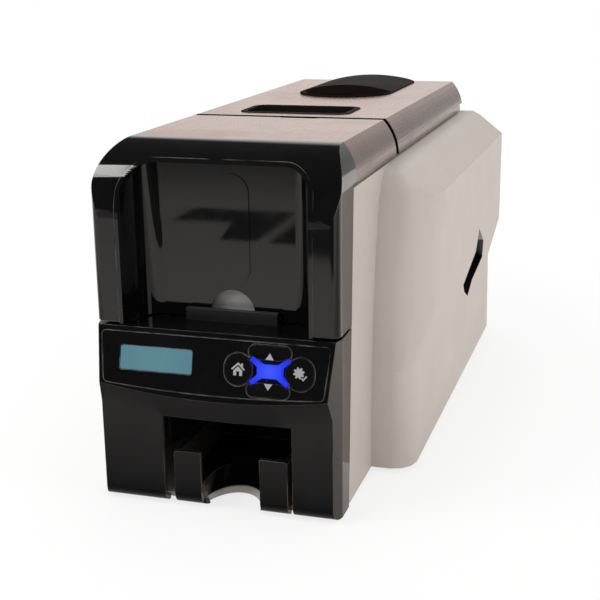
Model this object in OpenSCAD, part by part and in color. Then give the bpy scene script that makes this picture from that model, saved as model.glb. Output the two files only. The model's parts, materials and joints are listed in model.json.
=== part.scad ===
// Card printer: a desk machine that takes blank plastic cards from the hopper at its upper
// front, carries them under a print head, and drops them into the tray at its lower front.
// X runs across the machine, Y from front to back and Z up from the table. Inside the
// modules Y is measured from the front face of the hopper door; place() then moves each
// piece so that the origin lies on the table under the middle of the machine.

/* [Body] */
// Width of the body between the side bulges
body_w = 155; // [152:0.5:160]
// Height of the roof above the table
roof_h = 224; // [220:1:230]
// Distance from the face of the hopper door to the rear edge of the roof
body_l = 417; // [412:1:425]
// Width over both side bulges
bulge_w = 226; // [216:1:236]
// Thickness of the moulded covers
wall = 3; // [2.4:0.2:3.4]
// Height of the rubber feet
foot_h = 2.5; // [2:0.5:4]
// Diameter of the rubber feet
foot_d = 18; // [12:1:24]
// Radius of the upright front edges
front_edge_r = 6; // [4:0.5:8]
// Radius that turns the door's face into the roof
front_round_r = 44; // [36:1:50]
// Radius of the rounded roof edges
wrap_r = 35; // [30:1:40]
// Height of the rounded roof edges
wrap_h = 24; // [20:1:28]
// Gap under the edges of the covers that lift
seam_gap = 1; // [0.8:0.1:1.4]
// Width of the groove between the door and the main cover
groove_w = 3; // [2.6:0.2:4]

/* [Hopper door] */
// Distance from the door's face to its rear edge on the roof
door_l = 151; // [146:1:156]
// Height of the door's lower edge above the table
door_bottom = 116.5; // [116:0.5:120]
// Length of the glossy part of the door on the roof
gloss_l = 45.5; // [30.5:1:60.5]
// Distance from the door's face to the rear edge of its sides, at the bottom
side_seam_y = 28; // [24:1:32]
// How far the seams of the door's sides lean back over their height
side_seam_lean = 5; // [0:0.5:7]
// Width of the window recess at the door's face
pocket_w = 118; // [108:1:124]
// Width of the window's flat back
pocket_back_w = 86; // [80:1:94]
// Depth of the window recess
pocket_depth = 28; // [24:1:28]
// Height of the top of the window recess above the table
pocket_top = 213; // [206:1:214]
// Corner radius of the window recess
pocket_corner_r = 18; // [10:1:24]
// Thickness of the window's wall
window_wall = 2.4; // [1.8:0.2:2.6]
// Width of the raised oval on the window
oval_w = 23; // [16:1:30]
// Height of the raised oval on the window
oval_h = 69; // [50:1:76]
// Height of the raised oval's middle above the table
oval_z = 171; // [165:1:175]
// How far the oval stands out of the window
oval_rise = 0.8; // [0.4:0.2:1.4]
// Radius of the thumb notch in the window's lower edge
notch_r = 14.5; // [10:0.5:16]
// Width of the finger notch in the door's rear edge
edge_notch_w = 27; // [20:1:34]
// Depth of the finger notch in the door's rear edge
edge_notch_depth = 4; // [2:0.5:4]

/* [Control console] */
// Height of the console's upper edge above the table
console_top = 114.5; // [112:0.5:115.5]
// How far the console's upper edge stands ahead of the door
console_top_reach = 0.6; // [0.2:0.2:3]
// Tilt of the console's face from upright, in degrees
console_tilt = 14.3; // [11:0.1:18]
// Length of the tilted face at its middle
face_len = 41.5; // [40:0.5:43]
// How much higher the face's lower edge is at its ends
face_bow = 3.7; // [2:0.1:5]
// Slope of the console's underside, in degrees below level
underside_slope = 70; // [64:1:74]
// How far the lower front stands ahead of the door
fascia_reach = 4.3; // [3.5:0.1:6]
// Radius of the lower front's bottom edge, which curves back
foot_round = 8; // [6:0.5:9]
// Gap between the lower front and the table
front_gap = 1; // [0.5:0.1:2]
// How much the sides of the lower front turn inwards per millimetre towards the front
front_taper = 0.3; // [0.2:0.02:0.34]
// Width of the black inlay at its top
inlay_w = 145.6; // [140:0.2:147]
// Thickness of the inlay
inlay_t = 1.6; // [1.2:0.2:2]
// Width of the display
display_w = 46.8; // [40:0.2:50]
// Height of the display along the face
display_h = 14.7; // [12:0.1:17]
// Middle of the display across the machine
display_x = -36.4; // [-40:0.2:-32]
// Distance of the display's middle down the face
display_down = 19; // [17:0.2:21]
// Middle of the key cluster across the machine
keys_x = 36; // [33:0.2:38]
// Distance of the key cluster's middle down the face
keys_down = 20.4; // [19.8:0.2:20.8]
// Travel of the keys
key_travel = 0.8; // [0.4:0.1:1]

/* [Output tray] */
// Width of the tray over its walls
tray_w = 73.6; // [66:0.2:76]
// Middle of the tray across the machine
tray_x = 9; // [6:0.2:11]
// Height of the tray's front walls above the table
tray_wall_top = 37.4; // [32:0.2:44]
// Height of the tray's floor above the table
tray_floor = 17; // [14:0.5:19]
// Thickness of the tray's floor
tray_floor_t = 3; // [2:0.5:4]
// Thickness of the tray's walls
tray_wall = 3; // [2.4:0.2:3.6]
// Length of the tray behind the door's face
tray_l = 80; // [76:1:84]
// Diameter of the thumb scoop
scoop_d = 38; // [30:1:40]
// Lean of the thumb scoop from upright, in degrees
scoop_lean = 50; // [40:1:54]
// Distance from the door's face to the back of the thumb scoop, at the table
scoop_back = 20; // [16:1:24]
// Gap between the tray and the left edge of its opening
tray_gap_left = 6.4; // [4:0.2:8]
// Gap between the tray and the right edge of its opening
tray_gap_right = 3; // [1:0.5:4]
// Height of the opening above the table
mouth_h = 60; // [56:0.5:62]

/* [Side bulges] */
// Distance from the door's face to the front of the bulges
bulge_front = 80; // [70:1:90]
// Height of the fold between the lower and the upper part of the bulge
fold_low = 70; // [60:1:76]
// Height at which the bulge is widest
fold_high = 105; // [98:1:112]
// How far the lower part stays inside the widest part
fold_step = 9; // [5:0.5:12]
// Width of the hand grip recess
grip_w = 100; // [80:1:110]
// Height of the hand grip recess
grip_h = 58; // [50:1:60]
// Distance from the door's face to the grip's upper tip
grip_y = 298; // [280:1:310]
// Height of the grip's lower tip above the table
grip_z = 62; // [58:1:66]
// Depth of the hand grip recess
grip_depth = 14; // [10:0.5:16]

/* [Main cover] */
// Width of the latch recess
latch_w = 81; // [70:1:90]
// Length of the latch recess
latch_l = 46; // [38:1:48]
// Distance from the door's face to the front of the latch recess
latch_y = 169; // [166:1:174]
// Depth of the latch recess
latch_depth = 13; // [10:0.5:14]
// Width of the black hood on the roof
hood_w = 75; // [64:1:84]
// Distance from the door's face to the front of the hood
hood_y = 315; // [306:1:322]
// Height of the hood above the roof
hood_rise = 6; // [4:0.5:8]
// Depth of the finger scoop in front of the hood
hood_scoop = 11; // [8:0.5:12]

/* [Card path] */
// Width of a card
card_w = 54; // [53.9:0.1:54.1]
// Length of a card
card_l = 85.6; // [85.4:0.1:85.8]
// Thickness of a card
card_t = 0.76; // [0.6:0.02:0.84]
// Number of blank cards in the hopper
card_count = 24; // [10:1:30]
// Middle of the card path across the machine
card_x = 3; // [1:0.5:4]
// Height of the card path above the table
path_z = 117; // [116.5:0.5:118]
// Diameter of the roller shafts
shaft_d = 6; // [5:0.5:7]
// Diameter of the driven rollers
roller_d = 19; // [17:0.5:20]
// Diameter of the pinch rollers
pinch_d = 16; // [12:0.5:18]
// Running clearance round a shaft
shaft_play = 0.06; // [0.03:0.01:0.09]

/* [Chassis] */
// Distance between the inner faces of the two side frames
frame_gap = 116; // [114:1:118]
// Thickness of the side frames
frame_t = 2; // [1.6:0.2:2.4]
// Distance between the faces of the ribbon spool cores
spool_gap = 90; // [84:1:92]
// Diameter of the used ribbon on its spool
used_ribbon_d = 28; // [24:1:30]
// Diameter of the fresh ribbon on its spool
fresh_ribbon_d = 40; // [34:1:42]
// Side length of the cooling fan
fan_size = 50; // [40:1:60]

/* [Hidden] */
$fn = 64;

eps = 0.01;
big = 600;
fit = 0.3;                       // gap between pieces that only lie beside each other
half_w = body_w / 2;
wrap_z = roof_h - wrap_h;        // height at which the rounded roof edge starts
cover_y = door_l + groove_w;     // front edge of the main cover
face_up = [0, sin(console_tilt), cos(console_tilt)];
face_low = [0, -console_top_reach - face_len * face_up[1], console_top - face_len * face_up[2]];
bow_r = (pow(half_w, 2) + pow(face_bow, 2)) / (2 * face_bow);
front_y = face_low[1];
mid_y = (front_y + body_l) / 2;  // the origin, measured from the door's face

gloss_black = "#141416";
smoke_black = "#26262a";
roof_beige = "#c9b5a8";
side_grey = "#bfb4ac";
dark_grey = "#3a3a3d";
steel = "#b4b6ba";
rubber = "#202022";
white = "#ececea";
board_green = "#1f5a38";

module place() translate([0, -mid_y, 0]) children();
module along_x(x0, x1) translate([x0, 0, 0]) rotate([90, 0, 90]) linear_extrude(x1 - x0) children();
module along_y(y0, y1) translate([0, y1, 0]) rotate([90, 0, 0]) linear_extrude(y1 - y0) children();
module along_z(z0, z1) translate([0, 0, z0]) linear_extrude(z1 - z0) children();
module rod_x(x0, x1, r) translate([x0, 0, 0]) rotate([0, 90, 0]) cylinder(h = x1 - x0, r = r);
module block(x, y, z) translate([x[0], y[0], z[0]]) cube([x[1] - x[0], y[1] - y[0], z[1] - z[0]]);
module both_sides() {
    children();
    mirror([1, 0, 0]) children();
}
// Flat plate with rounded corners, centred on the origin
module rounded(w, h, r) {
    square([w - 2 * r, h], center = true);
    square([w, h - 2 * r], center = true);
    for (sx = [-1, 1], sy = [-1, 1])
        translate([sx * (w / 2 - r), sy * (h / 2 - r)]) circle(r);
}

// ---- outer envelope, each outline pulled in by the same inset ----

// Section across the body: flat sides, rounded roof edges that end in a crease at the roof
module body_section(inset) {
    half = half_w - inset;
    centre_x = half_w - wrap_r;
    intersection() {
        translate([-half, 0]) square([2 * half, roof_h - inset]);
        union() {
            translate([-half, 0]) square([2 * half, wrap_z]);
            for (side = [-1, 1])
                translate([side * centre_x, wrap_z]) circle(wrap_r - inset, $fn = 128);
            translate([-centre_x, wrap_z]) square([2 * centre_x, wrap_r]);
        }
    }
}
// Profile of the door along the machine: face, large rounding, roof. The rounding is set a
// little high, so that it meets the roof in an edge of its own
round_lift = 0.05;
module door_profile(inset) {
    centre_z = roof_h - front_round_r + round_lift;
    intersection() {
        union() {
            translate([inset, 0]) square([front_round_r - inset, centre_z]);
            translate([front_round_r, centre_z]) circle(front_round_r - inset, $fn = 128);
            translate([front_round_r, 0]) square([body_l, roof_h]);
        }
        square([2 * body_l, roof_h - inset]);
    }
}
// Plan of a front with rounded upright edges; depth is measured from the front face
module front_plan(inset) {
    half = half_w - inset;
    r = front_edge_r - inset;
    translate([-half, front_edge_r]) square([2 * half, big]);
    translate([-half + r, inset]) square([2 * (half - r), front_edge_r + eps]);
    for (side = [-1, 1])
        translate([side * (half - r), front_edge_r]) circle(r);
}
module door_envelope(inset) {
    intersection() {
        along_x(-half_w, half_w) door_profile(inset);
        along_y(-eps, door_l) body_section(inset);
        along_z(-eps, roof_h + eps) front_plan(inset);
    }
}

// ---- base ----

// Thumb scoop: a leaning cylinder that opens to the front
module scoop_cut() {
    translate([tray_x, scoop_back - scoop_d / 2 / cos(scoop_lean), foot_h]) rotate([-scoop_lean, 0, 0])
        cylinder(h = 200, d = scoop_d, center = true);
    block([tray_x - scoop_d / 2, tray_x + scoop_d / 2], [-big, tray_wall + 2 - fascia_reach],
        [-eps, tray_floor + tray_wall_top]);
}
base_w = body_w - 2 * wall - 2 * fit;
base_front = foot_round - fascia_reach + fit;
base_side_front = max(front_edge_r, base_front);
base_rear = body_l - 2 * wall - fit;
base_floor = foot_h + 3;
board_z = 18;                    // underside of the main board
board_t = 1.6;
board_half = 52;
board_y = [body_l - 261, body_l - 13];
module base_tray() color(side_grey) place() difference() {
    union() {
        block([-base_w / 2, base_w / 2], [base_side_front, base_rear], [foot_h, base_floor]);
        block([-base_w / 2 + wall, base_w / 2 - wall], [base_front, base_side_front + eps],
            [foot_h, base_floor]);
        // low walls that the covers close over
        for (side = [-1, 1])
            translate([side * (base_w / 2 - 1), 0, 0])
                block([-1, 1], [base_side_front, base_rear], [foot_h, 12]);
        block([-base_w / 2, base_w / 2], [base_rear - 2, base_rear], [foot_h, 12]);
        // posts under the main board
        for (x = [-1, 1], y = [board_y[0] + 6, (board_y[0] + board_y[1]) / 2, board_y[1] - 6])
            translate([x * (board_half - 6), y, foot_h + 1]) cylinder(h = board_z - foot_h - 1, d = 7);
    }
    scoop_cut();
    // cooling slots in the floor
    for (i = [0 : 8], side = [-1, 1])
        translate([side * 40, 210 + 16 * i, 0]) block([-20, 20], [-2.5, 2.5], [-1, base_floor + 1]);
    foot_places() translate([0, 0, -eps]) cylinder(h = 4, d = 5);
}
module foot_places() {
    for (x = [-1, 1], y = [0, 1])
        translate([x * (base_w / 2 - foot_d / 2 - 6), y == 0 ? 100 : base_rear - foot_d, foot_h])
            children();
}
module rubber_feet() color(rubber) place() foot_places() {
    translate([0, 0, -foot_h]) cylinder(h = foot_h, d1 = foot_d - 2, d2 = foot_d);
    cylinder(h = base_floor - foot_h - fit, d = 4.8);
}

// ---- console and lower front ----

// Everything on the tilted face is placed from the middle of the console's upper edge:
// x across, y up the face, z out of it
module on_face(across, down) {
    translate([across, -console_top_reach, console_top]) rotate([90 - console_tilt, 0, 0])
        translate([0, -down, 0]) children();
}
module console_block(inset) {
    intersection() {
        translate([0, -console_top_reach, console_top]) rotate([-console_tilt, 0, 0])
            block([-half_w, half_w], [inset, big / 4], [-big / 4, big / 4]);
        along_z(fascia_fold - 1, console_top + 1) taper_plan(inset);
        translate(face_low) rotate([270 - underside_slope, 0, 0])
            translate([0, -bow_r, 0]) cylinder(h = 160, r = bow_r - inset, center = true, $fn = 360);
        block([-half_w, half_w], [-big, side_seam_y], [fascia_fold, console_top - inset]);
    }
}
// Plan of the console and the lower front: the sides turn in from where the door's edges start
module taper_plan(inset) {
    half = half_w - inset;
    turn = front_taper * (front_edge_r + 40);
    polygon([[half, big / 4], [half, front_edge_r], [half - turn, -40], [turn - half, -40],
        [-half, front_edge_r], [-half, big / 4]]);
}
fascia_fold = 50;                // the console block reaches down behind the lower front to here
module lower_block(inset) intersection() {
    along_z(front_gap - inset - 1, fascia_fold + 16) taper_plan(inset);
    along_x(-half_w - 1, half_w + 1) front_profile(inset);
}
// Side view of the lower front: its foot curves back; the space behind it is open below
foot_mid = [foot_round - fascia_reach, foot_round + front_gap];
module front_profile(inset) polygon(concat([[side_seam_y + inset, front_gap - inset]],
    inset > 0 ? [[foot_mid[0], front_gap - inset]] : [],
    arc(foot_mid, foot_round - inset, 270, 180, 12),
    [[inset - fascia_reach, fascia_fold + 17], [side_seam_y + inset, fascia_fold + 17]]));
seam_slope = side_seam_lean / (wrap_z - door_bottom);
function seam_at(z) = side_seam_y + (z - door_bottom) * seam_slope;
mouth_x = [tray_x - tray_w / 2 - tray_gap_left, tray_x + tray_w / 2 + tray_gap_right];
module front_fascia() color(gloss_black) place() difference() {
    union() {
        console_block(0);
        lower_block(0);
    }
    console_block(wall);
    lower_block(wall);
    // rear edge leans like the door's
    along_x(-half_w - 1, half_w + 1) polygon([[seam_at(0), -1], [seam_at(console_top + 1), console_top + 1],
        [side_seam_y + 20, console_top + 1], [side_seam_y + 20, -1]]);
    // the mouth over the output tray
    block(mouth_x, [-big / 4, max(foot_mid[0], 0) + 1], [-1, mouth_h]);
    // the shelf stops at the hopper
    block([hopper_x[0] - fit, hopper_x[1] + fit], [ledge_y - fit, side_seam_y + 20], [90, console_top + 1]);
    on_face(0, 0) translate([0, 0, -inlay_t]) linear_extrude(inlay_t + 1) inlay_outline(fit / 2);
    on_face(display_x, display_down) translate([0, 0, -10])
        linear_extrude(20) square([display_w + 4, display_h + 3], center = true);
    on_face(0, 0) translate([0, 0, -10]) linear_extrude(20) intersection() {
        translate([keys_x, -keys_down]) square([2 * key_reach + 2, 2 * key_rise + 2], center = true);
        inlay_outline(-0.4);
    }
}
inlay_top = 3.2;                 // strip of fascia above the inlay
inlay_len = face_len - 3.7;      // from the console's edge to the inlay's lowest point
inlay_r = 3;
inlay_lean = atan(front_taper * sin(console_tilt));
inlay_high = [inlay_w / 2 - inlay_r, -inlay_top - inlay_r];
inlay_low_x = inlay_high[0] - (inlay_len - 2 * inlay_r) * tan(inlay_lean);
inlay_low = [inlay_low_x, pow(inlay_low_x, 2) / (2 * bow_r) - inlay_len + inlay_r];
function arc(middle, r, start, end, steps = 6) = [for (i = [0 : steps])
    let (angle = start + (end - start) * i / steps) middle + r * [cos(angle), sin(angle)]];
// Outline of the inlay: its sides turn in like the fascia's, its lower edge is bowed
module inlay_outline(grow) {
    r = inlay_r + grow;
    bottom = [for (i = [1 : 15]) let (x = inlay_low[0] * (i / 8 - 1))
        [x, pow(x, 2) / (2 * bow_r) - inlay_len - grow]];
    polygon(concat(bottom, arc(inlay_low, r, -90, -inlay_lean), arc(inlay_high, r, -inlay_lean, 90),
        arc([-inlay_high[0], inlay_high[1]], r, 90, 180 + inlay_lean),
        arc([-inlay_low[0], inlay_low[1]], r, 180 + inlay_lean, 270)));
}
module console_inlay() color(gloss_black) place() difference() {
    on_face(0, 0) translate([0, 0, -inlay_t]) linear_extrude(inlay_t) inlay_outline(0);
    on_face(display_x, display_down) translate([0, 0, -10]) linear_extrude(20)
        rounded(display_w + fit, display_h + fit, 1.6);
    on_face(keys_x, keys_down) translate([0, 0, -10]) linear_extrude(20) key_cluster(key_play);
}
module display_screen() color("#6fa3b3") place() on_face(display_x, display_down)
    translate([0, 0, -3]) linear_extrude(2.6) rounded(display_w - fit, display_h - fit, 1.4);

// Key cluster: four petals between the arms of a cross
key_play = 0.35;
key_reach = 27.9;
key_rise = 15.5;
key_proud = 0.2;                 // how far the keys stand out of the inlay
module key_cluster(grow) {
    petal_side(grow);
    mirror([1, 0]) petal_side(grow);
    petal_end(grow);
    mirror([0, 1]) petal_end(grow);
    rounded(31, 17, 6);
}
// Petal at the right of the cluster
module petal_side(grow) hull() {
    for (s = [-1, 1]) {
        translate([key_reach - 8.5, s * 1.2]) circle(8.5 + grow, $fn = 40);
        translate([11.2, s * 2.4]) circle(1 + grow, $fn = 20);
    }
}
module clear_of_cross() difference() {
    children();
    cross_outline(key_play);
}
// Petal at the top of the cluster
module petal_end(grow) hull() {
    for (s = [-1, 1]) {
        translate([s * 9, key_rise - 4.2]) circle(4.2 + grow, $fn = 32);
        translate([s * 5.4, 7.6]) circle(1 + grow, $fn = 20);
    }
}
module cross_outline(grow) {
    square([15.6 + 2 * grow, 8.4 + 2 * grow], center = true);
    for (sx = [-1, 1], sy = [-1, 1])
        polygon([for (q = cross_arm) [sx * (q[0] + q[2] * grow), sy * (q[1] + q[3] * grow)]]);
}
// Corners of an arm of the cross, each with the way it moves as the arm grows
cross_arm = [[6, 0.8, 0.63, -0.77], [12.6, 6.2, 1.34, -0.2], [11, 8.6, 0.27, 1.4], [4.4, 4, -0.57, 0.82]];
module key_cap() color(gloss_black) place() on_face(keys_x, keys_down)
    translate([0, 0, -3.6]) linear_extrude(3.6 + key_proud) clear_of_cross() children();
module setup_key() key_cap() petal_side(0);
module home_key() key_cap() mirror([1, 0]) petal_side(0);
module up_key() key_cap() petal_end(0);
module down_key() key_cap() mirror([0, 1]) petal_end(0);
module key_light() color("#2038ff") place() on_face(keys_x, keys_down)
    translate([0, 0, -4.6]) linear_extrude(4.6) cross_outline(-key_play / 2);
// Printed board behind the face: display pad, key switches and lamp
module console_board() color(board_green) place() on_face(0, 0) {
    translate([-64, -34, -7.8]) cube([130, 29, 1.6]);
    translate([display_x - 20, -display_down - 6, -6.2]) cube([40, 12, 2.9]);
    for (p = [[18, 0], [-18, 0], [0, 10.5], [0, -10.5]])
        translate([keys_x + p[0], -keys_down + p[1], -6.2]) cylinder(h = 1.5, d = 4);
    translate([keys_x - 3, -keys_down - 2, -6.2]) cube([6, 4, 1.3]);
}

// ---- output tray ----

module output_tray() color(gloss_black) place() {
    x0 = tray_x - tray_w / 2;
    x1 = tray_x + tray_w / 2;
    difference() {
        union() {
            block([x0, x1], [-fascia_reach + tray_wall / 2, tray_l], [base_floor + fit, tray_floor]);
            // front walls reach down and curve back in line with the lower front
            intersection() {
                along_x(x0, x1) difference() {
                    front_profile(0);
                    front_profile(tray_wall);
                    translate([foot_mid[0], -1]) square(big);
                }
                along_y(-fascia_reach - 1, foot_mid[0] + 1)
                    translate([tray_x, (tray_wall_top + front_gap) / 2 - 1.5])
                        rounded(tray_w - 0.02, tray_wall_top - front_gap + 3, 2.5);
            }
            for (x = [x0, x1 - tray_wall])
                block([x, x + tray_wall], [-fascia_reach + tray_wall / 2, tray_l],
                    [tray_floor - 1, tray_wall_top - 1]);
            block([x0, x1], [tray_l - tray_wall, tray_l], [tray_floor - 1, tray_wall_top - 8]);
        }
        scoop_cut();
        // hollow below the floor, behind the scoop
        block([x0 + tray_wall, x1 - tray_wall],
            [scoop_back + (tray_floor - foot_h) * tan(scoop_lean), tray_l - tray_wall],
            [0, tray_floor - tray_floor_t]);
    }
}

// ---- side covers ----

cover_top = wrap_z - seam_gap;
cover_bottom = foot_h + 0.5;
out_x = bulge_w / 2;
low_x = out_x - fold_step;
nose_x = half_w + 12.5;
// How far the front of the bulge leans back at a height
function lean_at(z) = z < 45 ? 0 : 0.00104 * pow(z - 45, 2);
// Levels of the bulge: height, nose, widest point, run from nose to widest point, extra lean
low_levels = [[cover_bottom, nose_x, low_x + 1, 16, 0], [45, nose_x, low_x + 0.5, 16, 0],
    [fold_low, nose_x, low_x, 20, 0]];
high_levels = [[fold_low, nose_x, low_x, 20, 0], [fold_high, nose_x, out_x, 42, 0],
    [wrap_z - 57, nose_x, out_x, 42, 0], [wrap_z - 20, nose_x, out_x, 40, 0],
    [cover_top - 3, nose_x - 6, out_x - 20, 20, 9], [cover_top, nose_x - 9, nose_x - 3, 10, 20]];
// Plan of the bulge at one level, from inside the side panel out to the widest point
module level_plan(level, inset) {
    front = bulge_front + lean_at(level[0]) + level[4] + inset;
    nose = level[1] - inset / 2;
    outside = level[2] - inset;
    span = outside - nose;
    run = level[3];
    rear = body_l - inset;
    polygon([[half_w - wall - inset, front], [nose, front], [nose + span * 0.5, front + run * 0.16],
        [nose + span * 0.85, front + run * 0.5], [outside, front + run], [outside, rear],
        [half_w - wall - inset, rear]]);
}
module level_hull(levels, inset, low, high) hull()
    for (i = [0 : len(levels) - 1])
        translate([0, 0, levels[i][0] + (i == 0 ? low : 0) - (i == len(levels) - 1 ? high + eps : 0)])
            linear_extrude(eps) level_plan(levels[i], inset);
module bulge(inset) {
    level_hull(low_levels, inset, inset, -2 * eps);
    level_hull(high_levels, inset, 0, inset);
}
// Outline of the hand grip, a kite that leans back; k scales it about its middle
grip_mid = [grip_y + grip_w * 0.1, grip_z + grip_h * 0.42];
module grip_outline(k) {
    corners = [[grip_y, grip_z + grip_h], [grip_y - grip_w * 0.38, grip_z + grip_h * 0.36],
        [grip_y + grip_w * 0.05, grip_z], [grip_y + grip_w * 0.62, grip_z + grip_h * 0.34]];
    polygon([for (c = corners) grip_mid + k * (c - grip_mid)]);
}
grip_x = low_x - grip_depth;     // plane of the grip's floor
grip_grow = 1.08;
module side_panel() along_x(half_w - wall, half_w) polygon([
    [seam_at(0) + fit, cover_bottom], [seam_at(cover_top) + fit, cover_top],
    [body_l, cover_top], [body_l, cover_bottom]]);
module right_cover_shape() difference() {
    union() {
        difference() {
            union() {
                side_panel();
                bulge(0);
            }
            bulge(wall);
        }
        // sleeve round the hand grip
        intersection() {
            bulge(0);
            along_x(grip_x, out_x) grip_outline(grip_grow);
        }
        // inner ribs that stiffen the panel
        for (y = [46, 62]) along_x(half_w - wall - 4, half_w - wall + eps)
            translate([y, 20]) square([2, cover_top - 40]);
    }
    along_x(grip_x - 1, out_x + 1) grip_outline(1);
}
module right_side_cover() color(side_grey) place() right_cover_shape();
module left_side_cover() color(side_grey) place() mirror([1, 0, 0]) right_cover_shape();
// Black liners that close the hand grips: a floor and a rounded bar to pull on
module side_grips() color(gloss_black) place() both_sides() {
    along_x(grip_x - 2, grip_x) grip_outline(grip_grow);
    intersection() {
        along_x(grip_x - eps, out_x) grip_outline(0.97);
        translate([grip_x - 4, 0, grip_z + grip_h * 0.3]) rotate([-90, 0, 0])
            cylinder(h = body_l, r = grip_depth);
    }
}

// ---- rear panel ----

panel_y = [body_l - 2 * wall, body_l - wall];
panel_top = wrap_z - 2.5;
inlet = [-42, 52, 30, 50];       // middle across, middle height, width and height of the inlet
ports = [[4, 13, 12], [30, 17, 14]]; // middle across, width and height of the data ports
port_z = board_z + board_t;
fan_mid = [22, 122];
module rear_panel() color(side_grey) place() difference() {
    block([-base_w / 2, base_w / 2], panel_y, [base_floor + fit, panel_top]);
    block([inlet[0] - inlet[2] / 2, inlet[0] + inlet[2] / 2], [0, big],
        [inlet[1] - inlet[3] / 2, inlet[1] + inlet[3] / 2]);
    for (p = ports)
        block([p[0] - p[1] / 2 - fit, p[0] + p[1] / 2 + fit], [0, big], [port_z - fit, port_z + p[2] + fit]);
    // fan grille: rings with spokes between them
    translate([fan_mid[0], panel_y[1] + 1, fan_mid[1]]) rotate([90, 0, 0]) difference() {
        cylinder(h = 2 * wall, d = fan_size - 5);
        for (d = [fan_size - 15, fan_size - 27, fan_size - 39]) difference() {
            translate([0, 0, -1]) cylinder(h = 4 * wall, d = d);
            translate([0, 0, -2]) cylinder(h = 5 * wall, d = d - 3);
        }
        for (a = [45, 135]) rotate(a) translate([-fan_size, -1.2, -1]) cube([2 * fan_size, 2.4, 4 * wall]);
    }
    // vent slots beside the fan
    for (i = [0 : 6]) block([-58, -18], [0, big], [104 + 8 * i, 107.5 + 8 * i]);
}

// ---- chassis ----

frame_x = frame_gap / 2;
frame_rear = body_l - 21;
roller_z = path_z - fit - roller_d / 2;
pinch_z = path_z + pinch_d / 2;
pick_y = 98;
feed_y = 140;
clean_y = 168;
platen_y = 215;
rear_y = 262;
exit_y = 74;
chute_low = [66, 62];
chute_high = [182, 106];
chute_slope = (chute_high[1] - chute_low[1]) / (chute_high[0] - chute_low[0]);
chute_at_exit = chute_low[1] + (exit_y - chute_low[0]) * chute_slope;
exit_z = chute_at_exit + fit - pinch_d / 2;
exit_pinch_z = chute_at_exit + 2 * fit + pinch_d / 2;
motor_at = [205, 62];
shafts = [[pick_y, roller_z], [feed_y, roller_z], [feed_y, pinch_z], [clean_y, pinch_z],
    [platen_y, roller_z], [rear_y, roller_z], [rear_y, pinch_z], [exit_y, exit_z], [exit_y, exit_pinch_z]];
door_pin_at = [door_l - 6.5, roof_h - 6.5];
door_pin_r = 1.5;
cover_pin_at = [body_l - 8, wrap_z + 6];
cover_pin_r = 2;
pin_play = 0.08;
latch_stud_at = [216, wrap_z - 6];
latch_stud_r = 2.5;
latch_pivot = [208, roof_h - 6.5];
bush_r = 5;
ties = [[152, 136], [290, 136], [90, 24], [frame_rear - 10, 60]];
tie_r = 4;
motor_boss_r = 11;
module frame_plate(stud) difference() {
    union() {
        along_x(frame_x, frame_x + frame_t) {
            polygon([[62, 12], [90, base_floor], [frame_rear, base_floor],
                [frame_rear, 176], [100, 176], [62, 90]]);
            polygon([[132, 175], [158, 175], [door_pin_at[0] + 3.4, door_pin_at[1]],
                [door_pin_at[0] - 3.4, door_pin_at[1]]]);
            translate(door_pin_at) circle(3.4);
            polygon([[latch_stud_at[0] - 12, 175], [latch_stud_at[0] + 12, 175],
                [latch_stud_at[0] + 6, latch_stud_at[1] + 4], [latch_stud_at[0] - 6, latch_stud_at[1] + 4]]);
            polygon([[frame_rear - 16, 175], [frame_rear, 160], [cover_pin_at[0] - 1, panel_top - 6],
                [cover_pin_at[0] + 3.4, cover_pin_at[1]], [cover_pin_at[0] - 3.4, cover_pin_at[1]]]);
            translate(cover_pin_at) circle(3.4);
        }
        translate([0, latch_stud_at[0], latch_stud_at[1]]) rod_x(frame_x - 5, frame_x + eps, latch_stud_r);
    }
    for (s = shafts) translate([0, s[0], s[1]]) rod_x(frame_x - 1, frame_x + 3, bush_r + 0.03);
    translate([0, motor_at[0], motor_at[1]]) rod_x(frame_x - 1, frame_x + 3, motor_boss_r + 0.1);
    translate([0, flap_at[0], flap_at[1]]) rod_x(frame_x - 1, frame_x + 3, flap_r + shaft_play);
    translate([0, door_pin_at[0], door_pin_at[1]]) rod_x(frame_x - 1, frame_x + 3, door_pin_r + 0.02);
    translate([0, cover_pin_at[0], cover_pin_at[1]]) rod_x(frame_x - 1, frame_x + 3, cover_pin_r + 0.02);
    // weight-saving windows
    along_x(frame_x - 1, frame_x + 3) {
        translate([frame_rear - 96, 60]) square([76, 90]);
        translate([240, 26]) square([46, 60]);
        translate([100, 24]) square([70, 26]);
    }
}
module right_frame() color(steel) place() frame_plate();
module left_frame() color(steel) place() mirror([1, 0, 0]) frame_plate();
module frame_ties() color(steel) place()
    for (t = ties) translate([0, t[0], t[1]]) rod_x(-frame_x, frame_x, tie_r);
module hinge_pins() color(steel) place() both_sides() {
    translate([0, door_pin_at[0], door_pin_at[1]]) rod_x(frame_x - 8, frame_x + 4, door_pin_r);
    translate([0, cover_pin_at[0], cover_pin_at[1]]) rod_x(frame_x - 2, frame_x + 13, cover_pin_r);
}
// Plastic bushes in the frames, flanged on the outside
module shaft_bushes() color(white) place() both_sides() for (s = shafts)
    translate([0, s[0], s[1]]) difference() {
        union() {
            rod_x(frame_x, frame_x + frame_t + eps, bush_r);
            rod_x(frame_x + frame_t, frame_x + frame_t + 1, bush_r + 1.5);
        }
        rod_x(frame_x - 1, frame_x + frame_t + 2, shaft_d / 2 + shaft_play);
    }

// ---- card path ----

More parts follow.
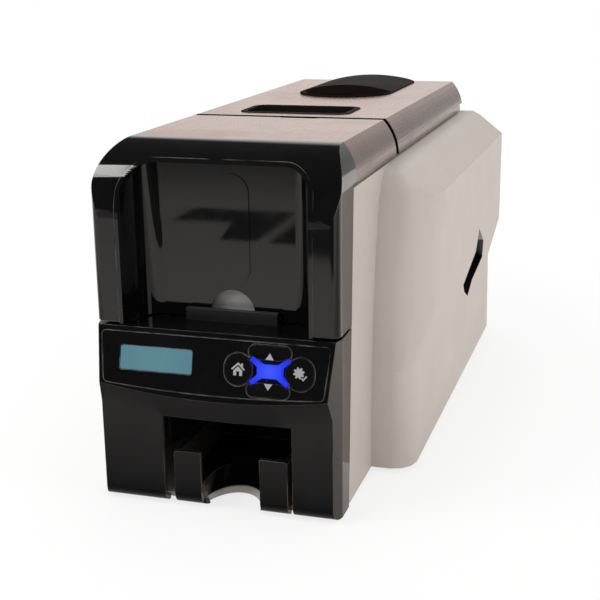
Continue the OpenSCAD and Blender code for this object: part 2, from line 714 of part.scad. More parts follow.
hopper_wall = 2.2;
hopper_half = card_w / 2 + 0.5 + hopper_wall;
hopper_x = [card_x - hopper_half, card_x + hopper_half];
ledge_y = 22;
ledge_t = 4;
ledge_top = path_z + 5;
stack_y = pocket_depth + window_wall + 3.6;
hopper_rear = stack_y + card_l + 1;
hopper_top = wrap_z - 10;
guide_w = 8;
flap_at = [183, 111.5];
flap_r = 2;
card_gap = 0.06;
stack_top = path_z + card_count * card_t;
module input_hopper() color(dark_grey) place() difference() {
    union() {
        block(hopper_x, [ledge_y, hopper_rear + hopper_wall], [path_z - 2.4, path_z]);
        // front lip that holds the lowest cards
        block(hopper_x, [ledge_y, ledge_y + ledge_t], [console_top - wall, ledge_top]);
        for (x = [hopper_x[0], hopper_x[1] - hopper_wall])
            block([x, x + hopper_wall], [stack_y - 2, hopper_rear + hopper_wall], [path_z - 1, hopper_top]);
        block(hopper_x, [hopper_rear, hopper_rear + hopper_wall], [path_z - 1, hopper_top]);
        // feet that stand on the frames' front edges
        for (s = [-1, 1]) block(s < 0 ? [-frame_x, hopper_x[0] + 1] : [hopper_x[1] - 1, frame_x],
            [hopper_rear - 14, hopper_rear], [path_z - 2.4, path_z + 2]);
    }
    // slot for the pick roller
    block([card_x - 21, card_x + 21], [pick_y - 9, pick_y + 9], [path_z - 5, path_z + 1]);
    // gate that lets one card through
    block([card_x - card_w / 2 - 0.5, card_x + card_w / 2 + 0.5], [hopper_rear - 1, hopper_rear + 5],
        [path_z, path_z + 1.4]);
    // slot that guides the card weight
    block([card_x - guide_w / 2, card_x + guide_w / 2], [hopper_rear - 1, hopper_rear + 5],
        [stack_top - 4, hopper_top + 1]);
}
module blank_cards() color(white) place() for (i = [0 : card_count - 1])
    translate([card_x, stack_y + card_l / 2, path_z + i * card_t])
        linear_extrude(card_t - card_gap) rounded(card_w, card_l, 3.2);
module card_weight() color(dark_grey) place() difference() {
    union() {
        translate([card_x, stack_y + card_l / 2, stack_top + fit]) linear_extrude(4)
            rounded(card_w - 4, card_l - 8, 6);
        // tongue in the hopper's slot, with a knob behind it
        block([card_x - guide_w / 2 + 0.4, card_x + guide_w / 2 - 0.4],
            [hopper_rear - 8, hopper_rear + hopper_wall + 4], [stack_top + fit, stack_top + fit + 8]);
        block([card_x - guide_w, card_x + guide_w],
            [hopper_rear + hopper_wall + fit, hopper_rear + hopper_wall + 4],
            [stack_top + fit, stack_top + fit + 12]);
        for (x = [-14, 14]) block([card_x + x - 1, card_x + x + 1], [stack_y + 14, stack_y + card_l - 14],
            [stack_top + fit, stack_top + fit + 9]);
    }
    // finger hole
    translate([card_x, stack_y + 26, stack_top]) cylinder(h = 10, d = 16);
}
module card_deck() color(steel) place() difference() {
    block([-frame_x, frame_x], [hopper_rear + hopper_wall + 6, cassette_rear], [path_z - 3, path_z - 1]);
    for (y = [feed_y, platen_y, rear_y])
        block([card_x - 29, card_x + 29], [y - 9, y + 9], [path_z - 5, path_z + 1]);
    block([card_x - 29, card_x + 29], [flap_at[0] - 3.5, flap_at[0] + 12.5], [path_z - 5, path_z + 1]);
}
// Flap that lifts its free edge to turn printed cards down the chute
module card_flap() color(dark_grey) place() {
    translate([0, flap_at[0], flap_at[1]]) rod_x(-frame_x - 3, frame_x + 3, flap_r);
    along_x(card_x - 27, card_x + 27) polygon([[flap_at[0] - 1, flap_at[1]],
        [flap_at[0] + 1.5, flap_at[1]], [flap_at[0] + 11, path_z - 3], [flap_at[0] + 11, path_z - 1],
        [flap_at[0] - 1, path_z - 1]]);
}
module exit_chute() color(steel) place() difference() {
    along_x(-frame_x, frame_x) polygon([chute_low, chute_high,
        chute_high - [0, 2], chute_low - [0, 2]]);
    block([card_x - 28, card_x + 28], [exit_y - 9, exit_y + 9], [40, 90]);
}

// Roller on a shaft that runs through both frames; driven ones carry a belt pulley
pulley_d = 16;
pulley_x = [frame_x + frame_t + 2, frame_x + frame_t + 10];
module roller(at, d, length, driven) place() translate([0, at[0], at[1]]) {
    rod_x(-frame_x - frame_t - 3, driven ? pulley_x[1] + 2 : frame_x + frame_t + 3, shaft_d / 2);
    difference() {
        rod_x(card_x - length / 2, card_x + length / 2, d / 2);
        // the rubber stops short of the ends, where the core shows
        for (s = [-1, 1]) translate([card_x + s * (length / 2 + 9), 0, 0]) difference() {
            rod_x(-10, 10, d);
            rod_x(-11, 11, d / 2 - 1.5);
        }
    }
    if (driven) pulley(pulley_d, pulley_x);
}
module pulley(d, x) {
    rod_x(x[0], x[1], d / 2);
    for (edge = [x[0], x[1] - 1]) rod_x(edge, edge + 1, d / 2 + 1.8);
}
module pick_roller() color(rubber) roller([pick_y, roller_z], roller_d, 38, true);
module feed_roller() color(rubber) roller([feed_y, roller_z], roller_d, 52, true);
module platen_roller() color(rubber) roller([platen_y, roller_z], roller_d, 56, true);
module rear_roller() color(rubber) roller([rear_y, roller_z], roller_d, 52, true);
module exit_roller() color(rubber) roller([exit_y, exit_z], pinch_d, 52, true);
module feed_pinch() color(rubber) roller([feed_y, pinch_z], pinch_d, 48, false);
module rear_pinch() color(rubber) roller([rear_y, pinch_z], pinch_d, 48, false);
module exit_pinch() color(rubber) roller([exit_y, exit_pinch_z], pinch_d, 48, false);
module cleaning_roller() color("#3a6ea8") roller([clean_y, pinch_z], pinch_d, 54, false);

// One flat belt round all the driven pulleys
belt_t = 1.2;
motor_pulley_d = 12;
module belt_loop(grow) hull() {
    for (s = [[pick_y, roller_z], [rear_y, roller_z], [exit_y, exit_z]])
        translate(s) circle(pulley_d / 2 + fit + grow, $fn = 48);
    translate(motor_at) circle(motor_pulley_d / 2 + fit + grow, $fn = 48);
}
module drive_belt() color(rubber) place() along_x(pulley_x[0] + 1 + fit, pulley_x[1] - 1 - fit)
    difference() {
        belt_loop(belt_t);
        belt_loop(0);
    }
module drive_motor() color(dark_grey) place() difference() {
    union() {
        translate([0, motor_at[0], motor_at[1]]) rotate([90, 0, 90]) translate([0, 0, frame_x - 36])
            linear_extrude(36) rounded(42, 42, 5);
        translate([0, motor_at[0], motor_at[1]]) rod_x(frame_x - 1, frame_x + frame_t - 0.2, motor_boss_r);
    }
    translate([0, motor_at[0], motor_at[1]]) rod_x(frame_x - 30, frame_x + 5, 2.5 + shaft_play);
}
module motor_pulley() color(steel) place() translate([0, motor_at[0], motor_at[1]]) {
    rod_x(frame_x - 28, pulley_x[1] + 1, 2.5);
    pulley(motor_pulley_d, pulley_x);
}

// ---- ribbon ----

used_at = [165, 165];
fresh_at = [275, 165];
spool_x = spool_gap / 2;
journal_r = 5;
cassette_t = 2.5;
cassette_z = ties[0][1] + tie_r + fit;
cassette_front = used_at[0] - 22;
cassette_rear = fresh_at[0] + 25;
head_y = platen_y;
ribbon_w = card_w + 4;
module ribbon_cassette() color(dark_grey) place() {
    difference() {
        both_sides() along_x(spool_x + fit, spool_x + fit + cassette_t) union() {
            polygon([[cassette_front, cassette_z], [cassette_rear, cassette_z],
                [cassette_rear, cassette_z + 22], [fresh_at[0] + 15, cassette_z + 44],
                [fresh_at[0] - 13, cassette_z + 44], [fresh_at[0] - 29, cassette_z + 14],
                [used_at[0] + 25, cassette_z + 14], [used_at[0] + 15, cassette_z + 40],
                [used_at[0] - 15, cassette_z + 40], [cassette_front, cassette_z + 22]]);
        }
        for (s = [used_at, fresh_at])
            translate([0, s[0], s[1]]) rod_x(-frame_x, frame_x, journal_r + shaft_play);
    }
    // bars that join the two side plates
    for (y = [cassette_front, cassette_rear - 4])
        block([-spool_x - fit - eps, spool_x + fit + eps], [y, y + 4], [cassette_z, cassette_z + 5]);
}
module spool(at, d) place() translate([0, at[0], at[1]]) {
    rod_x(-spool_x, spool_x, 7);
    rod_x(card_x - ribbon_w / 2, card_x + ribbon_w / 2, d / 2);
    rod_x(-spool_x - fit - cassette_t - 2, spool_x + fit + cassette_t + 2, journal_r);
    for (s = [-1, 1]) rod_x(s * (spool_x - 3) - 1, s * (spool_x - 3) + 1, 10);
}
module used_spool() color("#4a3550") spool(used_at, used_ribbon_d);
module fresh_spool() color("#2c2c30") spool(fresh_at, fresh_ribbon_d);
film_t = 0.3;
function round_spool(at, d, angle, out) = at + (d / 2 + out) * [cos(angle), sin(angle)];
module ribbon_film() color("#2c2c30") place() {
    low = path_z + 1.2;
    a = round_spool(used_at, used_ribbon_d, -58, fit);
    d = round_spool(fresh_at, fresh_ribbon_d, -125, fit);
    along_x(card_x - ribbon_w / 2, card_x + ribbon_w / 2) polygon([a, [head_y - 12, low],
        [head_y + 12, low], d, d + [-film_t, film_t], [head_y + 12 - film_t / 2, low + film_t],
        [head_y - 12 + film_t / 2, low + film_t], a + [film_t, film_t]]);
}

// ---- print head, carried by the main cover ----

roof_inner = roof_h - wall;
head_bottom = path_z + 2;
module head_bracket() color(steel) place() {
    block([-38, 38], [head_y + 3, head_y + 37], [roof_inner - 2, roof_inner]);
    both_sides() along_x(36, 38) polygon([[head_y + 3, roof_inner], [head_y + 37, roof_inner],
        [head_y + 37, roof_inner - 21], [head_y + 14, roof_inner - 61], [head_y + 14, head_bottom + 14],
        [head_y - 14, head_bottom + 14], [head_y - 14, roof_inner - 56], [head_y + 3, roof_inner - 17]]);
    block([-38, 38], [head_y - 14, head_y + 14], [head_bottom + 14, head_bottom + 16]);
}
module heat_sink() color("#a9adb2") place() {
    block([card_x - 32, card_x + 32], [head_y - 12, head_y + 12], [head_bottom + 4, head_bottom + 7]);
    for (i = [0 : 8]) block([card_x - 32 + 7.75 * i, card_x - 30 + 7.75 * i], [head_y - 12, head_y + 12],
        [head_bottom + 6, head_bottom + 14]);
}
module print_head() color("#d8d2c4") place() {
    block([card_x - 30, card_x + 30], [head_y - 11, head_y + 11], [head_bottom + 1, head_bottom + 4]);
    translate([0, head_y, head_bottom + 1.2]) rod_x(card_x - 29, card_x + 29, 1.2);
}

// ---- hopper door: black front, brushed top and smoked window ----

lid_z = wrap_z + 0.6;            // lower edge of everything that lifts
oval_x = card_x - 0.5;
ledge_room = [hopper_x[0] - 2, hopper_x[1] + 2];
module pocket_outline(grow) {
    half = pocket_w / 2 + grow;
    top = pocket_top + grow;
    r = pocket_corner_r + grow;
    translate([-half, 0]) square([2 * half, top - r]);
    translate([-half + r, 0]) square([2 * (half - r), top]);
    for (s = [-1, 1]) translate([s * (half - r), top - r]) circle(r);
}
// Plan of the recess: its side walls curve round into the flat back
module pocket_plan(grow) {
    back = pocket_back_w / 2;
    side = pocket_w / 2 - back + grow;
    depth = pocket_depth + grow;
    curve = [for (a = [0 : 7.5 : 90]) [back + side * cos(a), depth * sin(a)]];
    for (s = [-1, 1]) scale([s, 1])
        polygon(concat([[-eps, -1], [back + side, -1]], curve, [[-eps, depth]]));
}
module pocket(grow) intersection() {
    along_y(-1, pocket_depth + grow) pocket_outline(grow);
    along_z(0, roof_h) pocket_plan(grow);
}
module door_side_outline() polygon([[-1, door_bottom], [seam_at(door_bottom), door_bottom],
    [seam_at(lid_z), lid_z], [gloss_l - 4, lid_z], [gloss_l, roof_h + 1], [-1, roof_h + 1]]);
module hopper_door() color(gloss_black) place() difference() {
    union() {
        intersection() {
            difference() {
                door_envelope(0);
                door_envelope(wall);
            }
            along_x(-half_w, half_w) door_side_outline();
        }
        // lip that carries the brushed top
        intersection() {
            difference() {
                door_envelope(wall);
                door_envelope(wall + 1.6);
            }
            block([-half_w, half_w], [gloss_l - 8, gloss_l + 8], [lid_z, roof_h]);
        }
    }
    along_y(-1, gloss_l) pocket_outline(window_wall);
}
module hopper_window() color(smoke_black) place() difference() {
    intersection() {
        union() {
            difference() {
                pocket(window_wall);
                pocket(0);
            }
            along_y(pocket_depth - oval_rise, pocket_depth + eps) translate([oval_x, oval_z])
                for (s = [-1, 1]) {
                    square([oval_w, oval_h - oval_w], center = true);
                    translate([0, s * (oval_h - oval_w) / 2]) circle(oval_w / 2);
                }
        }
        door_envelope(0);
        block([-half_w, half_w], [-1, gloss_l], [door_bottom - 1, roof_h]);
    }
    // room for the hopper's front lip, and the thumb notch above it
    block(ledge_room, [ledge_y - 4, gloss_l], [0, ledge_top - 1.5]);
    translate([card_x - 1, gloss_l, ledge_top - 3]) rotate([90, 0, 0])
        cylinder(h = gloss_l - 10, r = notch_r);
}
module door_top() color(roof_beige) place() difference() {
    union() {
        intersection() {
            difference() {
                door_envelope(0);
                door_envelope(wall);
            }
            along_x(-half_w, half_w) polygon([[gloss_l - 4, lid_z], [door_l, lid_z],
                [door_l, roof_h + 1], [gloss_l, roof_h + 1]]);
        }
        // hinge lugs
        both_sides() along_x(frame_x - 6, frame_x - 1) {
            translate(door_pin_at) circle(3.4);
            translate([door_pin_at[0] - 9, door_pin_at[1]])
                square([12.4, roof_inner + eps - door_pin_at[1]]);
        }
        // stiffening ribs under the roof
        for (y = [70, 106]) block([-58, 58], [y, y + 2], [roof_inner - 5, roof_inner + eps]);
    }
    both_sides() translate([0, door_pin_at[0], door_pin_at[1]])
        rod_x(frame_x - 7, frame_x, door_pin_r + pin_play);
    translate([card_x + 6, door_l, roof_h - 20]) linear_extrude(30)
        rounded(edge_notch_w, 2 * edge_notch_depth, 3);
}

// ---- main cover ----

latch_mid = [-2.5, latch_y + latch_l / 2];
rim_w = 1.5;
rim_t = 0.6;
hood_rear = body_l - 9;
hood_seat = 3;
rear_notch_y = body_l - 12;
rear_notch_z = wrap_z + 5.6;
module hood_outline(inset) {
    r = hood_w / 2 - inset;
    translate([0, hood_y - 4]) circle(r, $fn = 128);
    translate([-r, hood_y - 4]) square([2 * r, hood_rear - inset - 8 - hood_y]);
    translate([-r + 8, hood_y]) square([2 * r - 16, hood_rear - inset - hood_y]);
    for (s = [-1, 1]) translate([s * (r - 8), hood_rear - inset - 8]) circle(8);
}
module main_cover() color(roof_beige) place() difference() {
    union() {
        difference() {
            along_y(cover_y, body_l) body_section(0);
            along_y(cover_y - 1, body_l - wall) body_section(wall);
            block([-half_w - 1, half_w + 1], [0, big], [-1, lid_z]);
            block([-half_w - 1, half_w + 1], [rear_notch_y, big], [-1, rear_notch_z]);
        }
        // hinge lugs
        both_sides() along_x(frame_x + frame_t + 1, frame_x + frame_t + 5) {
            translate(cover_pin_at) circle(4);
            translate([cover_pin_at[0] - 14, cover_pin_at[1]])
                square([18, roof_inner + eps - cover_pin_at[1]]);
        }
        // stiffening ribs under the roof
        for (y = [262, 284]) block([-60, 60], [y, y + 2], [roof_inner - 6, roof_inner + eps]);
        both_sides() block([60, 62], [cover_y + 8, frame_rear - 6], [roof_inner - 6, roof_inner + eps]);
    }
    both_sides() translate([0, cover_pin_at[0], cover_pin_at[1]])
        rod_x(frame_x, frame_x + 14, cover_pin_r + pin_play);
    translate([latch_mid[0], latch_mid[1], roof_h - 20]) linear_extrude(30)
        rounded(latch_w - 2 * rim_w, latch_l - 2 * rim_w, 9);
    translate([0, 0, roof_h - 20]) linear_extrude(30) hood_outline(hood_seat);
}
// Black hood with a finger scoop in front of its arched back
hood_edge = 1;
arch_r = (pow(hood_w / 2, 2) + pow(hood_rise - hood_edge, 2)) / (2 * (hood_rise - hood_edge));
bowl_rim = hood_w / 2 - 1.5;
bowl_drop = hood_scoop + hood_edge;
bowl_r = (pow(bowl_rim, 2) + pow(bowl_drop, 2)) / (2 * bowl_drop);
module hood_bowl(grow) translate([0, hood_y - 4, roof_h - hood_scoop + bowl_r])
    sphere(r = bowl_r + grow, $fn = 96);
module hood_arch(inset) translate([0, 0, roof_h + hood_rise - arch_r]) rotate([-90, 0, 0])
    cylinder(h = body_l, r = arch_r - inset, $fn = 256);
module cover_hood() color(gloss_black) place() difference() {
    union() {
        intersection() {
            along_z(roof_h, roof_h + hood_rise) hood_outline(0);
            hood_arch(0);
        }
        along_z(roof_h - hood_scoop - 2, roof_h + eps) hood_outline(hood_seat + fit);
    }
    // scoop, with the hump's front edge left standing over it
    difference() {
        hood_bowl(0);
        block([-hood_w, hood_w], [hood_y, big], [roof_h - 2, big]);
        block([-hood_w, hood_w], [hood_y + 6, big], [0, big]);
    }
    // hollow underside
    difference() {
        along_z(roof_h - 40, roof_h) hood_outline(hood_seat + fit + 1.6);
        hood_bowl(1.8);
    }
    difference() {
        intersection() {
            along_z(roof_h - 40, roof_h + hood_rise) hood_outline(hood_seat + fit + 1.6);
            hood_arch(2);
        }
        block([-hood_w, hood_w], [0, hood_y + 8], [0, big]);
    }
    block([-hood_w, hood_w], [hood_y + 8, big], [0, roof_inner]);
}
module latch_bezel() color(gloss_black) place() difference() {
    translate([latch_mid[0], latch_mid[1], 0]) difference() {
        union() {
            along_z(roof_h, roof_h + rim_t) rounded(latch_w, latch_l, 10);
            along_z(roof_h - latch_depth, roof_h + eps)
                rounded(latch_w - 2 * rim_w - 2 * fit, latch_l - 2 * rim_w - 2 * fit, 9 - fit);
        }
        along_z(roof_h - latch_depth + 2, roof_h + 2) rounded(latch_w - 8, latch_l - 8, 6.5);
    }
    translate([0, latch_pivot[0], latch_pivot[1]]) rod_x(-half_w, half_w, 2.5 + shaft_play);
}
hook_x = [frame_x - 7.5, frame_x - 3.5];
module cover_latch() color(dark_grey) place() {
    translate([0, latch_pivot[0], latch_pivot[1]]) rod_x(-hook_x[1], hook_x[1], 2.5);
    // paddle
    along_x(latch_mid[0] - 32, latch_mid[0] + 32) {
        polygon([[latch_pivot[0] - 20, latch_pivot[1]], [latch_pivot[0] - 17, latch_pivot[1] - 2],
            [latch_pivot[0], latch_pivot[1] - 2], [latch_pivot[0], latch_pivot[1] + 2.5],
            [latch_pivot[0] - 8, latch_pivot[1] + 3], [latch_pivot[0] - 18, latch_pivot[1] + 2.5]]);
    }
    // hooks beside the frames
    both_sides() along_x(hook_x[0], hook_x[1]) polygon([[latch_pivot[0] - 3, latch_pivot[1] + 2],
        [latch_pivot[0] + 3, latch_pivot[1] + 2], [latch_stud_at[0] - latch_stud_r - 0.5, latch_stud_at[1]],
        [latch_stud_at[0] - latch_stud_r - 0.4, latch_stud_at[1] - 4],
        [latch_pivot[0], latch_stud_at[1] - 9], [latch_pivot[0] - 1, latch_stud_at[1]]]);
}

// ---- electrics ----

module main_board() color(board_green) place() {
    block([-board_half, board_half], board_y, [board_z, board_z + board_t]);
    translate([0, board_y[0], board_z + board_t - eps]) {
        for (c = [[-20, 94, 24, 24, 2.4], [20, 124, 14, 20, 1.8], [30, 184, 18, 18, 2],
            [-8, 184, 10, 22, 3]])
            translate([c[0] - c[2] / 2, c[1], 0]) cube([c[2], c[3], c[4]]);
        for (i = [0 : 3]) translate([36, 24 + 14 * i, 0]) cylinder(h = 9, d = 8);
    }
}
supply_l = 140;
supply_y = [frame_rear - 66 - supply_l, frame_rear - 66];
supply_z = [board_z + 14, board_z + 64];
supply_t = 1.5;
module power_supply() color("#9a9ca0") place() difference() {
    block([-frame_x, 10], supply_y, supply_z);
    block([-frame_x + supply_t, 10 - supply_t], supply_y + [supply_t, -supply_t],
        supply_z + [supply_t, -supply_t]);
    for (i = [0 : 9]) translate([-44, supply_y[0] + 10 + 12 * i, supply_z[1] - 2]) cube([40, 4, 3]);
}
rocker_at = [panel_y[1] - 4, inlet[1] + 13];
module power_inlet() color(gloss_black) place() difference() {
    union() {
        block([inlet[0] - inlet[2] / 2 + fit, inlet[0] + inlet[2] / 2 - fit],
            [panel_y[0] - 20, panel_y[1] + eps],
            [inlet[1] - inlet[3] / 2 + fit, inlet[1] + inlet[3] / 2 - fit]);
        along_y(panel_y[1], panel_y[1] + 2) translate([inlet[0], inlet[1]])
            rounded(inlet[2] + 5, inlet[3] + 5, 3);
    }
    // socket with three blades left standing
    difference() {
        along_y(panel_y[0] - 12, big) translate([inlet[0], inlet[1] - 10]) rounded(24, 17, 3);
        for (q = [[-6.5, -2], [0, 3], [6.5, -2]])
            translate([inlet[0] + q[0], panel_y[0] - 13, inlet[1] - 10 + q[1]])
                block([-1, 1], [0, 13], [-2.4, 2.4]);
    }
    // well of the rocker
    block([inlet[0] - 8, inlet[0] + 8], [panel_y[0] - 12, big], [rocker_at[1] - 9, rocker_at[1] + 9]);
    translate([0, rocker_at[0], rocker_at[1]]) rod_x(inlet[0] - 10, inlet[0] + 10, 1.5 + shaft_play);
}
module power_switch() color(dark_grey) place() translate([0, rocker_at[0], rocker_at[1]]) {
    rod_x(inlet[0] - 9.7, inlet[0] + 9.7, 1.5);
    along_x(inlet[0] - 7.6, inlet[0] + 7.6)
        polygon([[7, -7.6], [5.4, 0], [7, 7.6], [-1, 7], [-3, 0], [-1, -7]]);
}
module data_ports() color("#8e9094") place() for (p = ports) difference() {
    block([p[0] - p[1] / 2, p[0] + p[1] / 2], [board_y[1] - 6, body_l - wall], [port_z, port_z + p[2]]);
    block([p[0] - p[1] / 2 + 1, p[0] + p[1] / 2 - 1], [board_y[1] - 4, big],
        [port_z + 1, port_z + p[2] - 1]);
}
fan_y = [panel_y[0] - 15, panel_y[0]];
module fan_square() translate(fan_mid) rounded(fan_size, fan_size, 4);
module cooling_fan() color(dark_grey) place() {
    difference() {
        along_y(fan_y[0], fan_y[1]) fan_square();
        translate([fan_mid[0], fan_y[1] + 1, fan_mid[1]]) rotate([90, 0, 0])
            cylinder(h = 20, d = fan_size - 3);
    }
    translate([fan_mid[0], fan_y[0] + 2.5, fan_mid[1]]) rotate([90, 0, 0]) {
        cylinder(h = 2, d = 20);
        for (a = [30, 150, 270]) rotate(a) translate([0, -1.5, 0.3]) cube([fan_size / 2 - 1, 3, 1.4]);
        // stub axle
        translate([0, 0, -6]) cylinder(h = 7, r = 1.5);
    }
}
module fan_rotor() color(gloss_black) place() translate([fan_mid[0], fan_y[0] + 3, fan_mid[1]])
    rotate([-90, 0, 0]) difference() {
        union() {
            cylinder(h = 9.5, d = 19);
            for (a = [0 : 360 / 7 : 359]) rotate(a) translate([8.5, 0, 4.75]) rotate([35, 0, 0])
                translate([0, -5, -0.6]) cube([fan_size / 2 - 11.5, 10, 1.2]);
        }
        translate([0, 0, -1]) cylinder(h = 6.5, r = 1.5 + shaft_play);
    }

base_tray();
rubber_feet();
front_fascia();
console_inlay();
display_screen();
key_light();
console_board();
home_key();
up_key();
down_key();
setup_key();
output_tray();
left_side_cover();
right_side_cover();
side_grips();
rear_panel();
left_frame();
right_frame();
frame_ties();
card_deck();
exit_chute();
input_hopper();
blank_cards();
card_weight();
hopper_door();
hopper_window();
door_top();
hinge_pins();
main_cover();
cover_hood();
latch_bezel();
cover_latch();
card_flap();
head_bracket();
print_head();
heat_sink();
ribbon_cassette();
used_spool();
fresh_spool();
ribbon_film();
pick_roller();
feed_roller();
feed_pinch();
cleaning_roller();
platen_roller();
rear_roller();
rear_pinch();
exit_roller();
exit_pinch();
shaft_bushes();
drive_belt();
drive_motor();
motor_pulley();
power_supply();
main_board();
power_inlet();
power_switch();
data_ports();
cooling_fan();
fan_rotor();
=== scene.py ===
"""Looks of a desk card printer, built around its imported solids.

Lengths are in metres where no comment says mm."""
import json
import math

import bpy
from mathutils import Matrix, Vector


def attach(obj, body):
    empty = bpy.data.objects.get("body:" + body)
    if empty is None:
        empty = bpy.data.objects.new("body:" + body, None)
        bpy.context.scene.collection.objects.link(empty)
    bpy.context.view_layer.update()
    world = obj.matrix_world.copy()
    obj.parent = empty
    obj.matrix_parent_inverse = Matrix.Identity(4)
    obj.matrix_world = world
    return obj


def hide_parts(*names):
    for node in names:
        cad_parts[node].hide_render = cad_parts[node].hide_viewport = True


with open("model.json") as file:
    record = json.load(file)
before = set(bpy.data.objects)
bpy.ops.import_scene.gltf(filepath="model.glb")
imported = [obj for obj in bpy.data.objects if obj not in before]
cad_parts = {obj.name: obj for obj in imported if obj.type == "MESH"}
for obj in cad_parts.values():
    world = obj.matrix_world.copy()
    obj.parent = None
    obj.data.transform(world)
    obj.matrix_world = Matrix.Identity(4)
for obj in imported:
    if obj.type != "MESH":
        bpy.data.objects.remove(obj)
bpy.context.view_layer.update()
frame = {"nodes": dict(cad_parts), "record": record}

MM = 0.001
DOOR_TO_ORIGIN = 203.075          # from the door's face to the origin, in mm
CONSOLE_EDGE = (0, -0.6, 114.5)   # middle of the console's upper edge, in mm
CONSOLE_TILT = math.radians(14.3)
KEYS = (36, -20.4)                # middle of the key cluster on the console's face, in mm
DISPLAY = (-36.4, -19)            # middle of the display on the console's face, in mm
KEY_FACE = 0.205                  # how far the keys' faces stand out of the console, in mm
LIPS = {"door_top": 148.9, "main_cover": 156.0}   # where the roof's matt black strips along the groove end, in mm
GRIP_Y, GRIP_HALF = 0.107, 0.055  # middle and half length of the hand grips along the printer
GRIP_BLACK_BOTTOM, GRIP_BLACK_TOP = 0.056, 0.1055   # heights between which the grips' inner walls are blackened
CARD_THICK = 0.00076              # thickness of a card
CRISP = math.radians(30)          # edges that turn further than this are sharp
PRINT_CRISP = math.radians(35)    # the same for the printed symbols
FLAT = math.radians(0.4)          # faces that turn less than this are one face
WELD = 2e-6                       # corners of loose triangles closer than this are joined
SLOT_OF = {s["node"]: s["material_slot"] for s in frame["record"]["subparts"]}
BODY_OF = {n: b for b, ns in frame["record"]["behaviour"]["bodies"].items() for n in ns}


def at(x, y, z):
    """Place in metres of a point in mm, with y measured from the door's face."""
    return Vector((x, y - DOOR_TO_ORIGIN, z)) * MM


def face_matrix(across, up, out=0.0):
    """Frame on the tilted console, in mm from its upper edge: x across, y up the face, z out of it."""
    turn = Matrix.Rotation(math.pi / 2 - CONSOLE_TILT, 4, "X")
    return Matrix.Translation(at(*CONSOLE_EDGE)) @ turn @ Matrix.Translation(
        Vector((across, up, out)) * MM)


# ---------------------------------------------------------------- shader helpers

def add_node(tree, kind, inputs=None, **settings):
    """Adds a shader node; an input that is a socket is linked, any other is set."""
    made = tree.nodes.new(kind)
    for key, value in settings.items():
        setattr(made, key, value)
    for key, value in (inputs or {}).items():
        if isinstance(value, bpy.types.NodeSocket):
            tree.links.new(value, made.inputs[key])
        else:
            made.inputs[key].default_value = value
    return made


def maths(tree, operation, a, b=0.0, clamp=False):
    """Result of a Math node on sockets or numbers."""
    made = add_node(tree, "ShaderNodeMath", {0: a, 1: b}, operation=operation, use_clamp=clamp)
    return made.outputs[0]


def times(tree, a, b):
    return maths(tree, "MULTIPLY", a, b)


def plus(tree, a, b):
    return maths(tree, "ADD", a, b)


def spread(tree, value, low, high, to_low=0.0, to_high=1.0):
    """Maps low..high of a value to to_low..to_high, and stops at both ends."""
    made = add_node(tree, "ShaderNodeMapRange", {"Value": value, "From Min": low, "From Max": high,
                                                 "To Min": to_low, "To Max": to_high})
    return made.outputs[0]


def mix_colour(tree, factor, a, b, blend="MIX"):
    """Colour a where the factor is 0 and b where it is 1."""
    made = add_node(tree, "ShaderNodeMix", {0: factor}, data_type="RGBA", blend_type=blend)
    for socket, value in ((made.inputs[6], a), (made.inputs[7], b)):
        if isinstance(value, bpy.types.NodeSocket):
            tree.links.new(value, socket)
        else:
            socket.default_value = value
    return made.outputs[2]


def noise(tree, vector, scale, detail=3.0, rough=0.5):
    return add_node(tree, "ShaderNodeTexNoise", {"Vector": vector, "Scale": scale, "Detail": detail,
                                                 "Roughness": rough}).outputs["Fac"]


def new_group(name, defaults, results):
    """Node group with its inputs, all of them numbers, and the names of its outputs."""
    group = bpy.data.node_groups.new(name, "ShaderNodeTree")
    for label, default in defaults.items():
        made = group.interface.new_socket(name=label, in_out="INPUT", socket_type="NodeSocketFloat")
        made.default_value = default
    for label in results:
        group.interface.new_socket(name=label, in_out="OUTPUT", socket_type="NodeSocketFloat")
    group_in = group.nodes.new("NodeGroupInput")
    group_out = group.nodes.new("NodeGroupOutput")
    return group, group_in.outputs, group_out.inputs


def object_place(tree):
    return add_node(tree, "ShaderNodeTexCoord").outputs["Object"]


def parts_of(tree, vector):
    """X, Y and Z of a vector."""
    return add_node(tree, "ShaderNodeSeparateXYZ", {"Vector": vector}).outputs


def face_normal(tree):
    return add_node(tree, "ShaderNodeNewGeometry").outputs["Normal"]


def cells(tree, vector, scale, feature="F1"):
    """Distance to the nearest of many scattered points."""
    return add_node(tree, "ShaderNodeTexVoronoi", {"Vector": vector, "Scale": scale},
                    feature=feature).outputs["Distance"]


def vector_maths(tree, operation, a, b=(0, 0, 0), output="Vector"):
    """Result of a Vector Math node; LENGTH and DOT_PRODUCT give theirs as Value."""
    made = add_node(tree, "ShaderNodeVectorMath", {0: a, 1: b}, operation=operation)
    return made.outputs[output]


def distance_from(tree, place, middle):
    """Distance of a place from a fixed point."""
    centred = add_node(tree, "ShaderNodeMapping", {"Vector": place, "Location": -middle}).outputs[0]
    return vector_maths(tree, "LENGTH", centred, output="Value")


def make_grain_group():
    """Fine moulded texture: an even pebble with slight cloudiness."""
    group, given, out = new_group("moulded_grain", {"Scale": 2400.0, "Clouds": 40.0}, ("Height", "Cloud"))
    place = object_place(group)
    pebble = cells(group, place, given["Scale"], "SMOOTH_F1")
    fine = noise(group, place, given["Scale"], 2.0)
    group.links.new(plus(group, times(group, pebble, 0.6), times(group, fine, 0.4)), out["Height"])
    group.links.new(noise(group, place, given["Clouds"], 4.0, 0.6), out["Cloud"])
    return group


